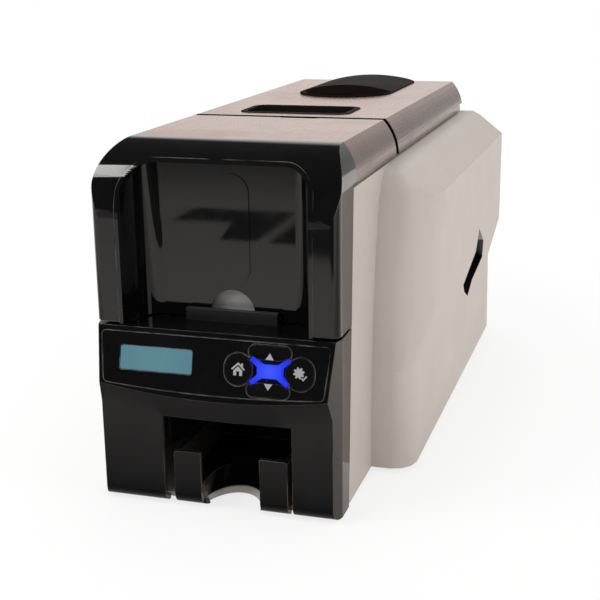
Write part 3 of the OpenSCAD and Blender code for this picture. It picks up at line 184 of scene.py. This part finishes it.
def make_marks_group():
    """Marks of handling: soft smudges, stray specks, and dust that lies on faces that look up."""
    group, given, out = new_group("handling_marks", {"Size": 28.0, "Dust": 0.4}, ("Smudge", "Dust", "Specks"))
    place = object_place(group)
    soft = noise(group, place, given["Size"], 5.0, 0.62)
    group.links.new(spread(group, soft, 0.48, 0.72), out["Smudge"])
    few = noise(group, place, 60.0, 2.0)
    dot = spread(group, cells(group, place, 420.0), 0.16, 0.05)
    group.links.new(times(group, dot, spread(group, few, 0.56, 0.66)), out["Specks"])
    up = parts_of(group, face_normal(group))["Z"]
    lying = times(group, spread(group, up, 0.55, 1.0), given["Dust"])
    group.links.new(times(group, lying, noise(group, place, 300.0, 4.0, 0.7)), out["Dust"])
    return group


def make_brushed_group():
    """Brushed lines that run along Y, from hair lines to broad bands."""
    group, given, out = new_group("brushed_lines", {"Fine": 5200.0, "Stretch": 0.012}, ("Lines", "Bands"))
    place = object_place(group)
    along = add_node(group, "ShaderNodeCombineXYZ", {"X": 1.0, "Y": given["Stretch"], "Z": 1.0}).outputs[0]
    drawn = vector_maths(group, "MULTIPLY", place, along)
    hair = noise(group, drawn, given["Fine"], 2.0, 0.7)
    coarse = noise(group, drawn, times(group, given["Fine"], 0.16), 3.0, 0.6)
    group.links.new(plus(group, times(group, hair, 0.6), times(group, coarse, 0.4)), out["Lines"])
    group.links.new(noise(group, drawn, 90.0, 2.0), out["Bands"])
    return group


def make_edge_wear_and_highlight_group():
    """Edges, found where a small rounding would turn the face: lightly rubbed on brushed metal, a painted
    highlight on polished plastic.
    """
    group, given, out = new_group("rubbed_and_highlit_edges", {"Reach": 0.0006, "Breakup": 180.0}, ("Edge",))
    place = object_place(group)
    rounded = add_node(group, "ShaderNodeBevel", {"Radius": given["Reach"]}, samples=4).outputs[0]
    alike = vector_maths(group, "DOT_PRODUCT", rounded, face_normal(group), "Value")
    edge = spread(group, alike, 0.995, 0.86)
    broken = spread(group, noise(group, place, given["Breakup"], 4.0), 0.35, 0.65)
    group.links.new(times(group, edge, broken), out["Edge"])
    return group


GRAIN = make_grain_group()
MARKS = make_marks_group()
BRUSHED = make_brushed_group()
EDGE_WEAR_AND_HIGHLIGHT = make_edge_wear_and_highlight_group()


def use_group(tree, group, **values):
    """Places a node group with its own values."""
    made = tree.nodes.new("ShaderNodeGroup")
    made.node_tree = group
    for key, value in values.items():
        made.inputs[key].default_value = value
    return made.outputs


def new_material(name):
    """New material with its node tree and the sockets of its shader."""
    material = bpy.data.materials.new(name)
    material.use_nodes = True
    tree = material.node_tree
    shader = next(n for n in tree.nodes if n.type == "BSDF_PRINCIPLED")
    return material, tree, shader.inputs


def bump(tree, height, strength, distance):
    """Normal bent by a height; distance is the depth of the texture in metres."""
    inputs = {"Height": height, "Strength": strength, "Distance": distance}
    return add_node(tree, "ShaderNodeBump", inputs).outputs[0]


def rgb(r, g, b):
    return (r, g, b, 1.0)


# ---------------------------------------------------------------- materials

def faces_sideways(tree):
    """How far a face looks to the left or right of the printer, from 0 to 1."""
    return maths(tree, "ABSOLUTE", parts_of(tree, face_normal(tree))["X"])


def blackened_grip(tree, colour):
    """Near black on the lower inner walls of the hand grips, which face along or up the printer."""
    parts = parts_of(tree, object_place(tree))
    from_middle = maths(tree, "ABSOLUTE", maths(tree, "SUBTRACT", parts["Y"], GRIP_Y))
    inside = times(tree, spread(tree, faces_sideways(tree), 0.6, 0.4),
                   spread(tree, from_middle, GRIP_HALF + 0.001, GRIP_HALF))
    lower = times(tree, spread(tree, parts["Z"], GRIP_BLACK_TOP + 0.0005, GRIP_BLACK_TOP),
                  spread(tree, parts["Z"], GRIP_BLACK_BOTTOM - 0.001, GRIP_BLACK_BOTTOM))
    return mix_colour(tree, times(tree, inside, lower), colour, rgb(0.006, 0.005, 0.005))


def matte_plastic(name, colour, shade, roughness, grain=2600.0, depth=0.12, dust=0.25, level=0.42,
                  grips=False):
    """Satin moulded plastic; shade is the colour of its clouds, and grips blackens the lower inner walls of
    the hand grips.
    """
    material, tree, inputs = new_material(name)
    texture = use_group(tree, GRAIN, Scale=grain, Clouds=26.0)
    marks = use_group(tree, MARKS, Size=22.0, Dust=dust)
    clouds = spread(tree, texture["Cloud"], 0.35, 0.7, 0.0, 0.35)
    cloudy = mix_colour(tree, clouds, rgb(*colour), rgb(*shade))
    dusty = mix_colour(tree, marks["Dust"], cloudy, rgb(0.62, 0.6, 0.57))
    tree.links.new(blackened_grip(tree, dusty) if grips else dusty, inputs["Base Color"])
    smudged = plus(tree, times(tree, marks["Smudge"], -0.08), roughness)
    tree.links.new(plus(tree, smudged, times(tree, texture["Height"], 0.08)), inputs["Roughness"])
    tree.links.new(bump(tree, texture["Height"], depth, 0.00012), inputs["Normal"])
    inputs["Specular IOR Level"].default_value = level
    return material


GLOSS_DUST = 0.012                # share of dust and specks on polished faces


def gloss_plastic(name, colour, roughness=0.07, level=0.5, rim=0.0):
    """Polished black moulding with faint flow waves, smudges and specks of dust.

    rim lightens its edges with a painted highlight, and with it come paler upright sides, a painted
    reflection."""
    material, tree, inputs = new_material(name)
    place = object_place(tree)
    marks = use_group(tree, MARKS, Size=30.0, Dust=GLOSS_DUST)
    pale = rgb(*[c + 0.015 for c in colour])
    hazed = mix_colour(tree, times(tree, marks["Smudge"], 0.12), rgb(*colour), pale)
    dusty = mix_colour(tree, marks["Dust"], hazed, rgb(0.3, 0.28, 0.26))
    shown = mix_colour(tree, times(tree, marks["Specks"], GLOSS_DUST), dusty, rgb(0.5, 0.48, 0.46))
    if rim:
        # painted highlight: edges are lightened towards pale grey
        edge = use_group(tree, EDGE_WEAR_AND_HIGHLIGHT, Reach=0.0006, Breakup=90.0)
        shown = mix_colour(tree, times(tree, edge["Edge"], rim), shown, rgb(0.5, 0.47, 0.44))
        # painted reflection: faces that look sideways are made paler
        upright = spread(tree, faces_sideways(tree), 0.9, 0.98)
        shown = mix_colour(tree, upright, shown, rgb(0.03, 0.024, 0.021))
    tree.links.new(shown, inputs["Base Color"])
    dulled = plus(tree, times(tree, marks["Dust"], 0.5), roughness)
    tree.links.new(plus(tree, times(tree, marks["Smudge"], 0.05), dulled), inputs["Roughness"])
    flow = noise(tree, place, 9.0, 1.0)
    fine = noise(tree, place, 900.0, 1.0)
    surface = plus(tree, flow, times(tree, fine, 0.012))
    tree.links.new(bump(tree, surface, 0.03, 0.004), inputs["Normal"])
    inputs["Specular IOR Level"].default_value = level
    return material


def painted_side_shade(tree, colour, dark):
    """Roof colour with painted shade on its upright sides."""
    upright = spread(tree, faces_sideways(tree), 0.5, 0.95, 0.0, 0.9)
    return mix_colour(tree, upright, colour, rgb(*[0.3 * c for c in dark]))


def brushed_metal(name, colour, dark, roughness, metallic=1.0, fine=5200.0, wear=0.4, depth=0.1,
                  roof=False):
    """Brushed sheet or laminate; dark is the colour between its lines, and roof paints shade on its upright
    sides.
    """
    material, tree, inputs = new_material(name)
    lines = use_group(tree, BRUSHED, Fine=fine, Stretch=0.012)
    marks = use_group(tree, MARKS, Size=18.0, Dust=0.15)
    edge = use_group(tree, EDGE_WEAR_AND_HIGHLIGHT, Reach=0.0005, Breakup=260.0)
    streaked = mix_colour(tree, spread(tree, lines["Lines"], 0.38, 0.62), rgb(*dark), rgb(*colour))
    toned = mix_colour(tree, spread(tree, lines["Bands"], 0.3, 0.75, 0.0, 0.25), streaked, rgb(*dark))
    bright = rgb(*[min(1.0, c * 1.5) for c in colour])
    worn = mix_colour(tree, times(tree, edge["Edge"], wear), toned, bright)
    # painted shade: a roof's upright sides are darkened
    tree.links.new(painted_side_shade(tree, worn, dark) if roof else worn, inputs["Base Color"])
    drawn = spread(tree, lines["Lines"], 0.3, 0.7, roughness - 0.05, roughness + 0.07)
    tree.links.new(plus(tree, drawn, times(tree, marks["Smudge"], 0.06)), inputs["Roughness"])
    tree.links.new(bump(tree, lines["Lines"], depth, 0.00008), inputs["Normal"])
    inputs["Metallic"].default_value = metallic
    return material


def soft_rubber(name, colour, roughness=0.78):
    """Dull rubber with paler handled places."""
    material, tree, inputs = new_material(name)
    texture = use_group(tree, GRAIN, Scale=1800.0, Clouds=60.0)
    marks = use_group(tree, MARKS, Size=50.0, Dust=0.3)
    pale = rgb(*[c * 1.9 + 0.01 for c in colour])
    handled = maths(tree, "ADD", times(tree, marks["Smudge"], 0.35), marks["Dust"], clamp=True)
    tree.links.new(mix_colour(tree, handled, rgb(*colour), pale), inputs["Base Color"])
    tree.links.new(plus(tree, times(tree, texture["Cloud"], 0.12), roughness - 0.06), inputs["Roughness"])
    tree.links.new(bump(tree, texture["Height"], 0.25, 0.0002), inputs["Normal"])
    return material


def board_material(name, low, high, edge):
    """Solder mask in tones from low to high, edged tracks, and fields of pads."""
    material, tree, inputs = new_material(name)
    place = object_place(tree)
    tracks = add_node(tree, "ShaderNodeTexBrick", {"Vector": place, "Scale": 130.0, "Mortar Size": 0.06,
                                                   "Color1": rgb(*low), "Color2": rgb(*high),
                                                   "Mortar": rgb(*edge)}).outputs["Color"]
    fields = spread(tree, noise(tree, place, 45.0, 1.0), 0.55, 0.6)
    pads = times(tree, spread(tree, cells(tree, place, 300.0), 0.24, 0.18), fields)
    tree.links.new(mix_colour(tree, pads, tracks, rgb(0.6, 0.55, 0.4)), inputs["Base Color"])
    tree.links.new(spread(tree, pads, 0.0, 1.0, 0.32, 0.22), inputs["Roughness"])
    tree.links.new(times(tree, pads, 0.9), inputs["Metallic"])
    tree.links.new(bump(tree, pads, 0.3, 0.0001), inputs["Normal"])
    return material


def card_material(name):
    """Card stock: smooth, with a slight change of tone from card to card, and painted dark grey for shade."""
    material, tree, inputs = new_material(name)
    place = object_place(tree)
    card = maths(tree, "FLOOR", times(tree, parts_of(tree, place)["Z"], 1 / CARD_THICK))
    tone = add_node(tree, "ShaderNodeTexWhiteNoise", {"W": card}, noise_dimensions="1D").outputs["Value"]
    # painted shade: the white card stock is given a dark grey tone
    toned = mix_colour(tree, tone, rgb(0.3, 0.28, 0.29), rgb(0.38, 0.36, 0.365))
    tree.links.new(toned, inputs["Base Color"])
    grain = noise(tree, place, 1500.0, 2.0)
    tree.links.new(spread(tree, grain, 0.3, 0.7, 0.28, 0.36), inputs["Roughness"])
    tree.links.new(bump(tree, grain, 0.04, 0.0001), inputs["Normal"])
    return material


def display_material(name):
    """Lit display: pale blue, a little darker towards its edges, with a fine dot grid."""
    material, tree, inputs = new_material(name)
    place = object_place(tree)
    fall = spread(tree, distance_from(tree, place, face_matrix(*DISPLAY).translation), 0.006, 0.026)
    colour = mix_colour(tree, fall, rgb(0.092, 0.215, 0.268), rgb(0.08, 0.195, 0.245))
    dots = add_node(tree, "ShaderNodeTexChecker", {"Vector": place, "Scale": 2600.0, "Color1": rgb(1, 1, 1),
                                                   "Color2": rgb(0.9, 0.92, 0.92)}).outputs["Color"]
    shown = mix_colour(tree, 1.0, colour, dots, "MULTIPLY")
    tree.links.new(mix_colour(tree, 0.85, shown, rgb(0.01, 0.012, 0.014)), inputs["Base Color"])
    tree.links.new(shown, inputs["Emission Color"])
    tree.links.new(spread(tree, noise(tree, place, 200.0), 0.3, 0.7, 0.2, 0.28), inputs["Roughness"])
    inputs["Emission Strength"].default_value = 0.9
    return material


def lamp_material(name):
    """Lit cross between the keys: deep blue, palest in its middle."""
    material, tree, inputs = new_material(name)
    place = object_place(tree)
    fall = spread(tree, distance_from(tree, place, face_matrix(*KEYS).translation), 0.001, 0.011)
    glow = mix_colour(tree, fall, rgb(0.034, 0.085, 0.95), rgb(0.01, 0.025, 0.78))
    tree.links.new(mix_colour(tree, 0.9, glow, rgb(0.002, 0.003, 0.01)), inputs["Base Color"])
    tree.links.new(glow, inputs["Emission Color"])
    tree.links.new(spread(tree, noise(tree, place, 400.0), 0.3, 0.7, 0.3, 0.4), inputs["Roughness"])
    inputs["Emission Strength"].default_value = 0.95
    return material


def print_material(name, colour):
    """Printed symbols: slightly rough ink."""
    material, tree, inputs = new_material(name)
    grain = noise(tree, object_place(tree), 3000.0, 2.0)
    thin_ink = rgb(*[c * 0.85 for c in colour])
    tree.links.new(mix_colour(tree, grain, thin_ink, rgb(*colour)), inputs["Base Color"])
    tree.links.new(spread(tree, grain, 0.3, 0.7, 0.45, 0.6), inputs["Roughness"])
    tree.links.new(bump(tree, grain, 0.05, 0.00005), inputs["Normal"])
    return material


MATERIALS = {
    "light_grey_plastic": matte_plastic("side_cover_plastic", (0.535, 0.48, 0.44), (0.495, 0.44, 0.4), 0.46,
                                        level=0.3, grips=True),
    "black_rubber": soft_rubber("foot_rubber", (0.016, 0.016, 0.016)),
    # rim paints highlight lines on the edges and paler upright sides, here and on the keys below
    "gloss_black": gloss_plastic("gloss_black_plastic", (0.0022, 0.002, 0.0021), rim=0.35),
    "inlay_black": gloss_plastic("inlay_film", (0.0022, 0.0022, 0.0024), 0.1, 0.45, rim=0.75),
    "display": display_material("lit_display"),
    "key_lamp": lamp_material("lit_cross"),
    "circuit_board": board_material("board_green", (0.018, 0.11, 0.05), (0.03, 0.15, 0.07),
                                    (0.05, 0.24, 0.12)),
    "key_black": gloss_plastic("key_plastic", (0.0028, 0.0028, 0.003), 0.12, 0.45, rim=0.2),
    "frame_steel": brushed_metal("frame_sheet", (0.55, 0.56, 0.57), (0.42, 0.43, 0.44), 0.34),
    "bright_steel": brushed_metal("ground_steel", (0.66, 0.66, 0.67), (0.52, 0.52, 0.53), 0.22),
    "dark_plastic": matte_plastic("dark_moulding", (0.012, 0.012, 0.013), (0.02, 0.02, 0.021), 0.42,
                                  grain=2400.0, depth=0.15, dust=0.1),
    "card_white": card_material("card_stock"),
    "smoked_black": gloss_plastic("smoked_window", (0.0026, 0.0024, 0.0024), 0.03),
    # the roof laminate gets painted shade on its upright sides
    "roof_metallic": brushed_metal("roof_laminate", (0.49, 0.335, 0.285), (0.385, 0.26, 0.22), 0.26,
                                   metallic=0.4, fine=4200.0, wear=0.25, depth=0.06, roof=True),
    "head_ceramic": matte_plastic("head_ceramic", (0.6, 0.56, 0.47), (0.54, 0.5, 0.42), 0.3,
                                  grain=2400.0, depth=0.05),
    "sink_aluminium": brushed_metal("sink_aluminium", (0.7, 0.71, 0.73), (0.58, 0.59, 0.61), 0.3),
    "ribbon_used": gloss_plastic("used_film", (0.045, 0.02, 0.055), 0.18),
    "ribbon_fresh": gloss_plastic("fresh_film", (0.01, 0.01, 0.012), 0.15),
    "roller_rubber": soft_rubber("roller_rubber", (0.02, 0.02, 0.021), 0.6),
    "cleaning_blue": soft_rubber("tacky_rubber", (0.02, 0.09, 0.22), 0.35),
    "bush_plastic": matte_plastic("bush_plastic", (0.62, 0.62, 0.6), (0.55, 0.55, 0.53), 0.4),
    "supply_steel": brushed_metal("zinc_sheet", (0.5, 0.51, 0.52), (0.4, 0.41, 0.42), 0.36),
}
PRINT = print_material("symbol_print", (0.34, 0.34, 0.35))
SATIN = matte_plastic("satin_black", (0.012, 0.008, 0.007), (0.015, 0.011, 0.01), 0.62,
                      grain=2400.0, depth=0.1, dust=0.03, level=0.06)
# painted shade: matt black without gloss, partly the groove's own black
GROOVE_BLACK_AND_SHADE = matte_plastic("groove_black_and_shade", (0.003, 0.003, 0.003), (0.004, 0.004, 0.004), 0.7,
                    grain=2400.0, depth=0.1, dust=0.0, level=0.0)
BLACK_BOARD = board_material("board_black", (0.006, 0.007, 0.007), (0.009, 0.01, 0.01), (0.02, 0.022, 0.021))
MATERIAL_OF = {name: MATERIALS[slot] for name, slot in SLOT_OF.items()}
MATERIAL_OF.update({"cover_hood": SATIN, "latch_bezel": SATIN, "side_grips": SATIN,
                    "console_board": BLACK_BOARD})


# ---------------------------------------------------------------- mesh helpers

def only(piece):
    """Deselects everything, then selects and activates one piece."""
    bpy.ops.object.select_all(action="DESELECT")
    piece.select_set(True)
    bpy.context.view_layer.objects.active = piece


def place_piece(piece, name, body, material):
    """Names a finished piece, gives it its material and lets it ride on its body."""
    piece.name = name
    piece.data.name = name
    piece.data.materials.clear()
    piece.data.materials.append(material)
    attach(piece, body)


def new_piece(name, mesh):
    """New object in the scene with the given mesh."""
    piece = bpy.data.objects.new(name, mesh)
    bpy.context.scene.collection.objects.link(piece)
    return piece


def even_normals(piece):
    """Lets the large faces of a piece keep their own direction."""
    even = piece.modifiers.new("even", "WEIGHTED_NORMAL")
    even.keep_sharp = True
    even.weight = 90
    bpy.ops.object.modifier_apply(modifier="even")


def rounded_copy(node, width, segments=2, sharp=CRISP):
    """Copy of a CAD node with its sharp edges rounded by width mm; it stands for the node."""
    piece = new_piece(node + "_finish", frame["nodes"][node].data.copy())
    only(piece)
    bpy.ops.object.mode_set(mode="EDIT")
    bpy.ops.mesh.select_all(action="SELECT")
    bpy.ops.mesh.remove_doubles(threshold=WELD)
    bpy.ops.mesh.dissolve_limited(angle_limit=FLAT)
    bpy.ops.mesh.normals_make_consistent(inside=False)
    bpy.ops.object.mode_set(mode="OBJECT")
    bpy.ops.object.shade_smooth_by_angle(angle=sharp)
    edge = piece.modifiers.new("edge", "BEVEL")
    edge.width = width * MM
    edge.segments = segments
    edge.limit_method = "ANGLE"
    edge.angle_limit = sharp
    edge.miter_outer = "MITER_ARC"
    edge.harden_normals = True
    bpy.ops.object.modifier_apply(modifier="edge")
    even_normals(piece)
    place_piece(piece, node + "_finish", BODY_OF[node], MATERIAL_OF[node])
    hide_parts(node)


# ---------------------------------------------------------------- CAD nodes

for name, node in frame["nodes"].items():
    node.data.materials.clear()
    node.data.materials.append(MATERIAL_OF[name])

# how far the edges of each node are rounded, in mm
ROUNDED = {"front_fascia": 0.5, "hopper_door": 0.4, "door_top": 0.3, "main_cover": 0.3, "cover_hood": 0.4,
           "output_tray": 0.6, "base_tray": 0.4, "rear_panel": 0.3, "latch_bezel": 0.3, "cover_latch": 0.4,
           "input_hopper": 0.3, "side_grips": 0.5, "home_key": 0.3, "up_key": 0.3, "down_key": 0.3,
           "setup_key": 0.3, "console_inlay": 0.15, "hopper_window": 0.3, "power_inlet": 0.3,
           "power_switch": 0.3, "card_weight": 0.4}
for name, width in ROUNDED.items():
    rounded_copy(name, width)

# the side covers are rounder, and the facets of their bulges run on smoothly
COVER_ROUND = 0.8                # in mm
for name in ("left_side_cover", "right_side_cover"):
    rounded_copy(name, COVER_ROUND, segments=3, sharp=math.radians(40))


def cut_across(piece, y, rear):
    """Keeps what lies behind (rear) or before the plane at y mm, and closes the cut."""
    only(piece)
    bpy.ops.object.mode_set(mode="EDIT")
    bpy.ops.mesh.select_all(action="SELECT")
    bpy.ops.mesh.bisect(plane_co=at(0, y, 0), plane_no=(0, 1, 0), use_fill=True, clear_inner=rear,
                        clear_outer=not rear)
    bpy.ops.object.mode_set(mode="OBJECT")
    bpy.ops.mesh.customdata_custom_splitnormals_clear()
    bpy.ops.object.shade_smooth_by_angle(angle=CRISP)
    even_normals(piece)


# the groove across the roof is edged on each side by a matt black lip cut off the roof: partly the groove's
# own black, partly painted shade
for name, y in LIPS.items():
    roof = bpy.data.objects[name + "_finish"]
    lip = new_piece(name + "_lip", roof.data.copy())
    cut_across(roof, y, rear=name == "main_cover")
    cut_across(lip, y, rear=name == "door_top")
    place_piece(lip, name + "_lip", BODY_OF[name], GROOVE_BLACK_AND_SHADE)


# ---------------------------------------------------------------- console

PRINT_THICK = 0.06               # thickness of the print, in mm


def key_symbol(name, outline, body):
    """Symbol printed on a key; its outline, in mm from the middle of the keys, is filled and thickened."""
    mesh = bpy.data.meshes.new(name)
    rim = [(i, (i + 1) % len(outline)) for i in range(len(outline))]
    mesh.from_pydata([(x * MM, y * MM, 0) for x, y in outline], rim, [])
    piece = new_piece(name, mesh)
    only(piece)
    bpy.ops.object.mode_set(mode="EDIT")
    bpy.ops.mesh.select_all(action="SELECT")
    bpy.ops.mesh.edge_face_add()
    bpy.ops.object.mode_set(mode="OBJECT")
    if mesh.polygons[0].normal.z < 0:
        mesh.flip_normals()
    ink = piece.modifiers.new("ink", "SOLIDIFY")
    ink.thickness = PRINT_THICK * MM
    ink.offset = 1
    bpy.ops.object.modifier_apply(modifier="ink")
    piece.matrix_world = face_matrix(*KEYS, KEY_FACE)
    bpy.ops.object.transform_apply(location=True, rotation=True, scale=True)
    bpy.ops.object.shade_smooth_by_angle(angle=PRINT_CRISP)
    place_piece(piece, name, body, PRINT)


ARROW_Y = 8.9                    # distance of the arrows from the middle of the keys, in mm
for name, body, side in (("up_arrow", "up_button", 1), ("down_arrow", "down_button", -1)):
    base, tip = side * (ARROW_Y - 1.8), side * (ARROW_Y + 2.2)
    key_symbol(name, [(-2.6, base), (2.6, base), (0, tip)], body)

HOME_X = -19.3                   # middle of the house, in mm
HOUSE = {"home_roof": [(-4.3, 0.2), (0, 4.2), (1.8, 2.5), (1.8, 3.7), (3.0, 3.7), (3.0, 1.4), (4.3, 0.2),
                       (3.6, -0.5), (0, 2.9), (-3.6, -0.5)],
         "home_walls": [(-2.8, -0.7), (0, 1.9), (2.8, -0.7), (2.8, -3.7), (0.9, -3.7), (0.9, -1.2),
                        (-0.9, -1.2), (-0.9, -3.7), (-2.8, -3.7)]}
for name, outline in HOUSE.items():
    key_symbol(name, [(HOME_X + x, y) for x, y in outline], "home_button")


def cog_outline(teeth=8, root=2.6, tip=3.5):
    """Outline of a small cog wheel."""
    points = []
    for k in range(teeth):
        for share, radius in ((0.0, root), (0.18, tip), (0.5, tip), (0.68, root)):
            angle = 2 * math.pi * (k + share) / teeth
            points.append((radius * math.cos(angle), radius * math.sin(angle)))
    return points


SETUP_X = 19                     # middle of the cog and its tick, in mm
SETUP = {"cog_symbol": [(x - 0.6, y + 0.9) for x, y in cog_outline()],
         "tick_symbol": [(0.9, -2.2), (1.5, -1.6), (2.2, -2.4), (4.0, -0.3), (4.6, -0.9), (2.2, -3.7)]}
for name, outline in SETUP.items():
    key_symbol(name, [(SETUP_X + x, y) for x, y in outline], "setup_button")


# ---------------------------------------------------------------- stage and lights

FLOOR_SIZE = 14
bpy.ops.object.select_all(action="DESELECT")
bpy.ops.mesh.primitive_plane_add(size=FLOOR_SIZE, location=(0, 0, 0))
floor = bpy.context.active_object
floor.name = "studio_floor"


def ramp(tree, value, stops):
    """Value read off a curve of (place, level) stops."""
    made = add_node(tree, "ShaderNodeValToRGB", {"Fac": value})
    points = made.color_ramp.elements
    while len(points) < len(stops):
        points.new(1.0)
    for point, (place, level) in zip(points, stops):
        point.position = place
        point.color = (level, level, level, 1)
    return made.outputs["Color"]


def mix_shader(tree, factor, a, b):
    """Shader a where the factor is 0 and b where it is 1."""
    return add_node(tree, "ShaderNodeMixShader", {0: factor, 1: a, 2: b}).outputs[0]


def floor_material():
    """Pale floor: white to the camera away from the object, and plain to all other light.

    In gloss it is seen as a table that is darkest at the object's foot."""
    material = bpy.data.materials.new("studio_floor")
    material.use_nodes = True
    tree = material.node_tree
    tree.nodes.clear()
    place = object_place(tree)
    path = add_node(tree, "ShaderNodeLightPath").outputs
    parts = parts_of(tree, place)
    flat = vector_maths(tree, "MULTIPLY", place, (1, 0.6, 0))
    distance = vector_maths(tree, "LENGTH", flat, output="Value")
    ahead = times(tree, parts["Y"], -1.0)
    across = parts["X"]
    # how bright gloss sees the floor at some distances ahead of the origin, up to the farthest
    far = 1.5
    levels = ((0.0, 1.0), (0.2, 0.5), (0.215, 0.08), (0.25, 0.3), (0.32, 0.5), (0.46, 0.6), (0.58, 0.95),
              (0.75, 0.88), (0.95, 0.8), (1.05, 0.85), (1.18, 0.6), (1.35, 0.38))
    seen_ahead = ramp(tree, times(tree, ahead, 1 / far), [(y / far, level) for y, level in levels])
    # gloss also sees a dark bar, deeper at its right end, and a dark field right of it
    near_edge = spread(tree, across, -0.285, -0.265, 0.95, 0.85)
    bar_depth = times(tree, spread(tree, maths(tree, "SUBTRACT", ahead, near_edge), -0.005, 0.005),
                      spread(tree, ahead, 1.035, 1.025))
    bar_length = times(tree, spread(tree, across, -0.375, -0.365), spread(tree, across, -0.215, -0.22))
    bar = times(tree, bar_depth, bar_length)
    field = times(tree, spread(tree, ahead, 0.84, 0.85), spread(tree, across, -0.205, -0.195))
    shade = maths(tree, "MAXIMUM", bar, field)
    darker = times(tree, seen_ahead, maths(tree, "SUBTRACT", 1.0, times(tree, shade, 0.88)))
    matt = add_node(tree, "ShaderNodeBsdfDiffuse", {"Color": rgb(0.88, 0.88, 0.88)}).outputs[0]
    white = add_node(tree, "ShaderNodeEmission", {"Color": rgb(1, 1, 1), "Strength": 1.0}).outputs[0]
    seen = times(tree, darker, spread(tree, parts["Y"], 0.0, 0.1, 1.0, 1.3))
    gloss = add_node(tree, "ShaderNodeEmission", {"Color": rgb(1, 0.95, 0.92), "Strength": seen}).outputs[0]
    background = maths(tree, "MAXIMUM", path["Is Camera Ray"], path["Is Transmission Ray"])
    share = times(tree, spread(tree, distance, 0.13, 0.34, 0.76, 1.0), background)
    first = mix_shader(tree, share, matt, white)
    last = mix_shader(tree, path["Is Glossy Ray"], first, gloss)
    add_node(tree, "ShaderNodeOutputMaterial", {"Surface": last})
    return material


floor.data.materials.append(floor_material())


def make_world():
    """White behind the object and a plain soft grey light on it; gloss sees a bright far wall."""
    world = bpy.data.worlds.new("studio")
    bpy.context.scene.world = world
    world.use_nodes = True
    tree = world.node_tree
    tree.nodes.clear()
    path = add_node(tree, "ShaderNodeLightPath").outputs
    direction = add_node(tree, "ShaderNodeTexCoord").outputs["Generated"]
    parts = parts_of(tree, direction)
    far_wall = times(tree, spread(tree, parts["Y"], 0.8, 0.9), spread(tree, parts["X"], 0.3, 0.0, 0.4, 1.0))
    level = maths(tree, "MAXIMUM", far_wall, 0.06)
    shown = maths(tree, "MAXIMUM", path["Is Camera Ray"], path["Is Transmission Ray"])
    gloss, soft, white = [
        add_node(tree, "ShaderNodeBackground", {"Color": rgb(*colour), "Strength": strength}).outputs[0]
        for colour, strength in (((1, 0.99, 0.98), level), ((1, 0.99, 0.98), 0.72), ((1, 1, 1), 1.0))]
    last = mix_shader(tree, shown, mix_shader(tree, path["Is Glossy Ray"], soft, gloss), white)
    add_node(tree, "ShaderNodeOutputWorld", {"Surface": last})


make_world()


def area_light(name, place, aim, size, power, colour=(1, 1, 1), mirrored=True):
    """Soft rectangular lamp, its power in watts; mirrored says whether gloss sees it."""
    data = bpy.data.lights.new(name, "AREA")
    data.shape = "RECTANGLE"
    data.size, data.size_y = size
    data.energy = power
    data.color = colour
    lamp = bpy.data.objects.new(name, data)
    bpy.context.scene.collection.objects.link(lamp)
    lamp.location = place
    lamp.rotation_euler = (Vector(aim) - Vector(place)).to_track_quat("-Z", "Y").to_euler()
    lamp.visible_glossy = mirrored


area_light("right_softbox", (1.9, -0.5, 1.0), (0, 0, 0.12), (1.2, 1.2), 9.8, (1, 0.985, 0.97))
area_light("left_softbox", (-1.1, -1.2, 0.75), (0, -0.1, 0.15), (0.5, 0.3), 6.0, mirrored=False)
area_light("strip_softbox", (-0.93, -0.7, 1.45), (-0.93, -0.19, 0.21), (0.5, 0.5), 8.5, (1, 0.985, 0.95))
area_light("top_softbox", (0.1, 0.3, 1.9), (0, 0, 0.1), (1.4, 1.0), 5, mirrored=False)

# ---------------------------------------------------------------- camera

AZIMUTH, ELEVATION, ROLL = (math.radians(a) for a in (17.089, 15.86, -0.729))
CAMERA_PLACE = at(247.92, -631.04, 326.08)
FOCAL_LENGTH = 1187.704          # in pixels of the photograph
PHOTO_WIDTH = 600                # in pixels
SENSOR_WIDTH = 36                # in mm
camera_data = bpy.data.cameras.new("photo_camera")
camera_data.sensor_width = SENSOR_WIDTH
camera_data.lens = SENSOR_WIDTH * FOCAL_LENGTH / PHOTO_WIDTH
camera_data.clip_start = 0.01
camera = bpy.data.objects.new("photo_camera", camera_data)
bpy.context.scene.collection.objects.link(camera)
level_right = Vector((math.cos(AZIMUTH), math.sin(AZIMUTH), 0))
level_ahead = Vector((-math.sin(AZIMUTH), math.cos(AZIMUTH), 0))
look = level_ahead * math.cos(ELEVATION) - Vector((0, 0, math.sin(ELEVATION)))
level_up = level_right.cross(look)
right = math.cos(ROLL) * level_right + math.sin(ROLL) * level_up
up = -math.sin(ROLL) * level_right + math.cos(ROLL) * level_up
camera.matrix_world = Matrix.Translation(CAMERA_PLACE) @ Matrix((right, up, -look)).transposed().to_4x4()
bpy.context.scene.camera = camera

bpy.context.scene.view_settings.view_transform = "Standard"

bpy.context.view_layer.update()
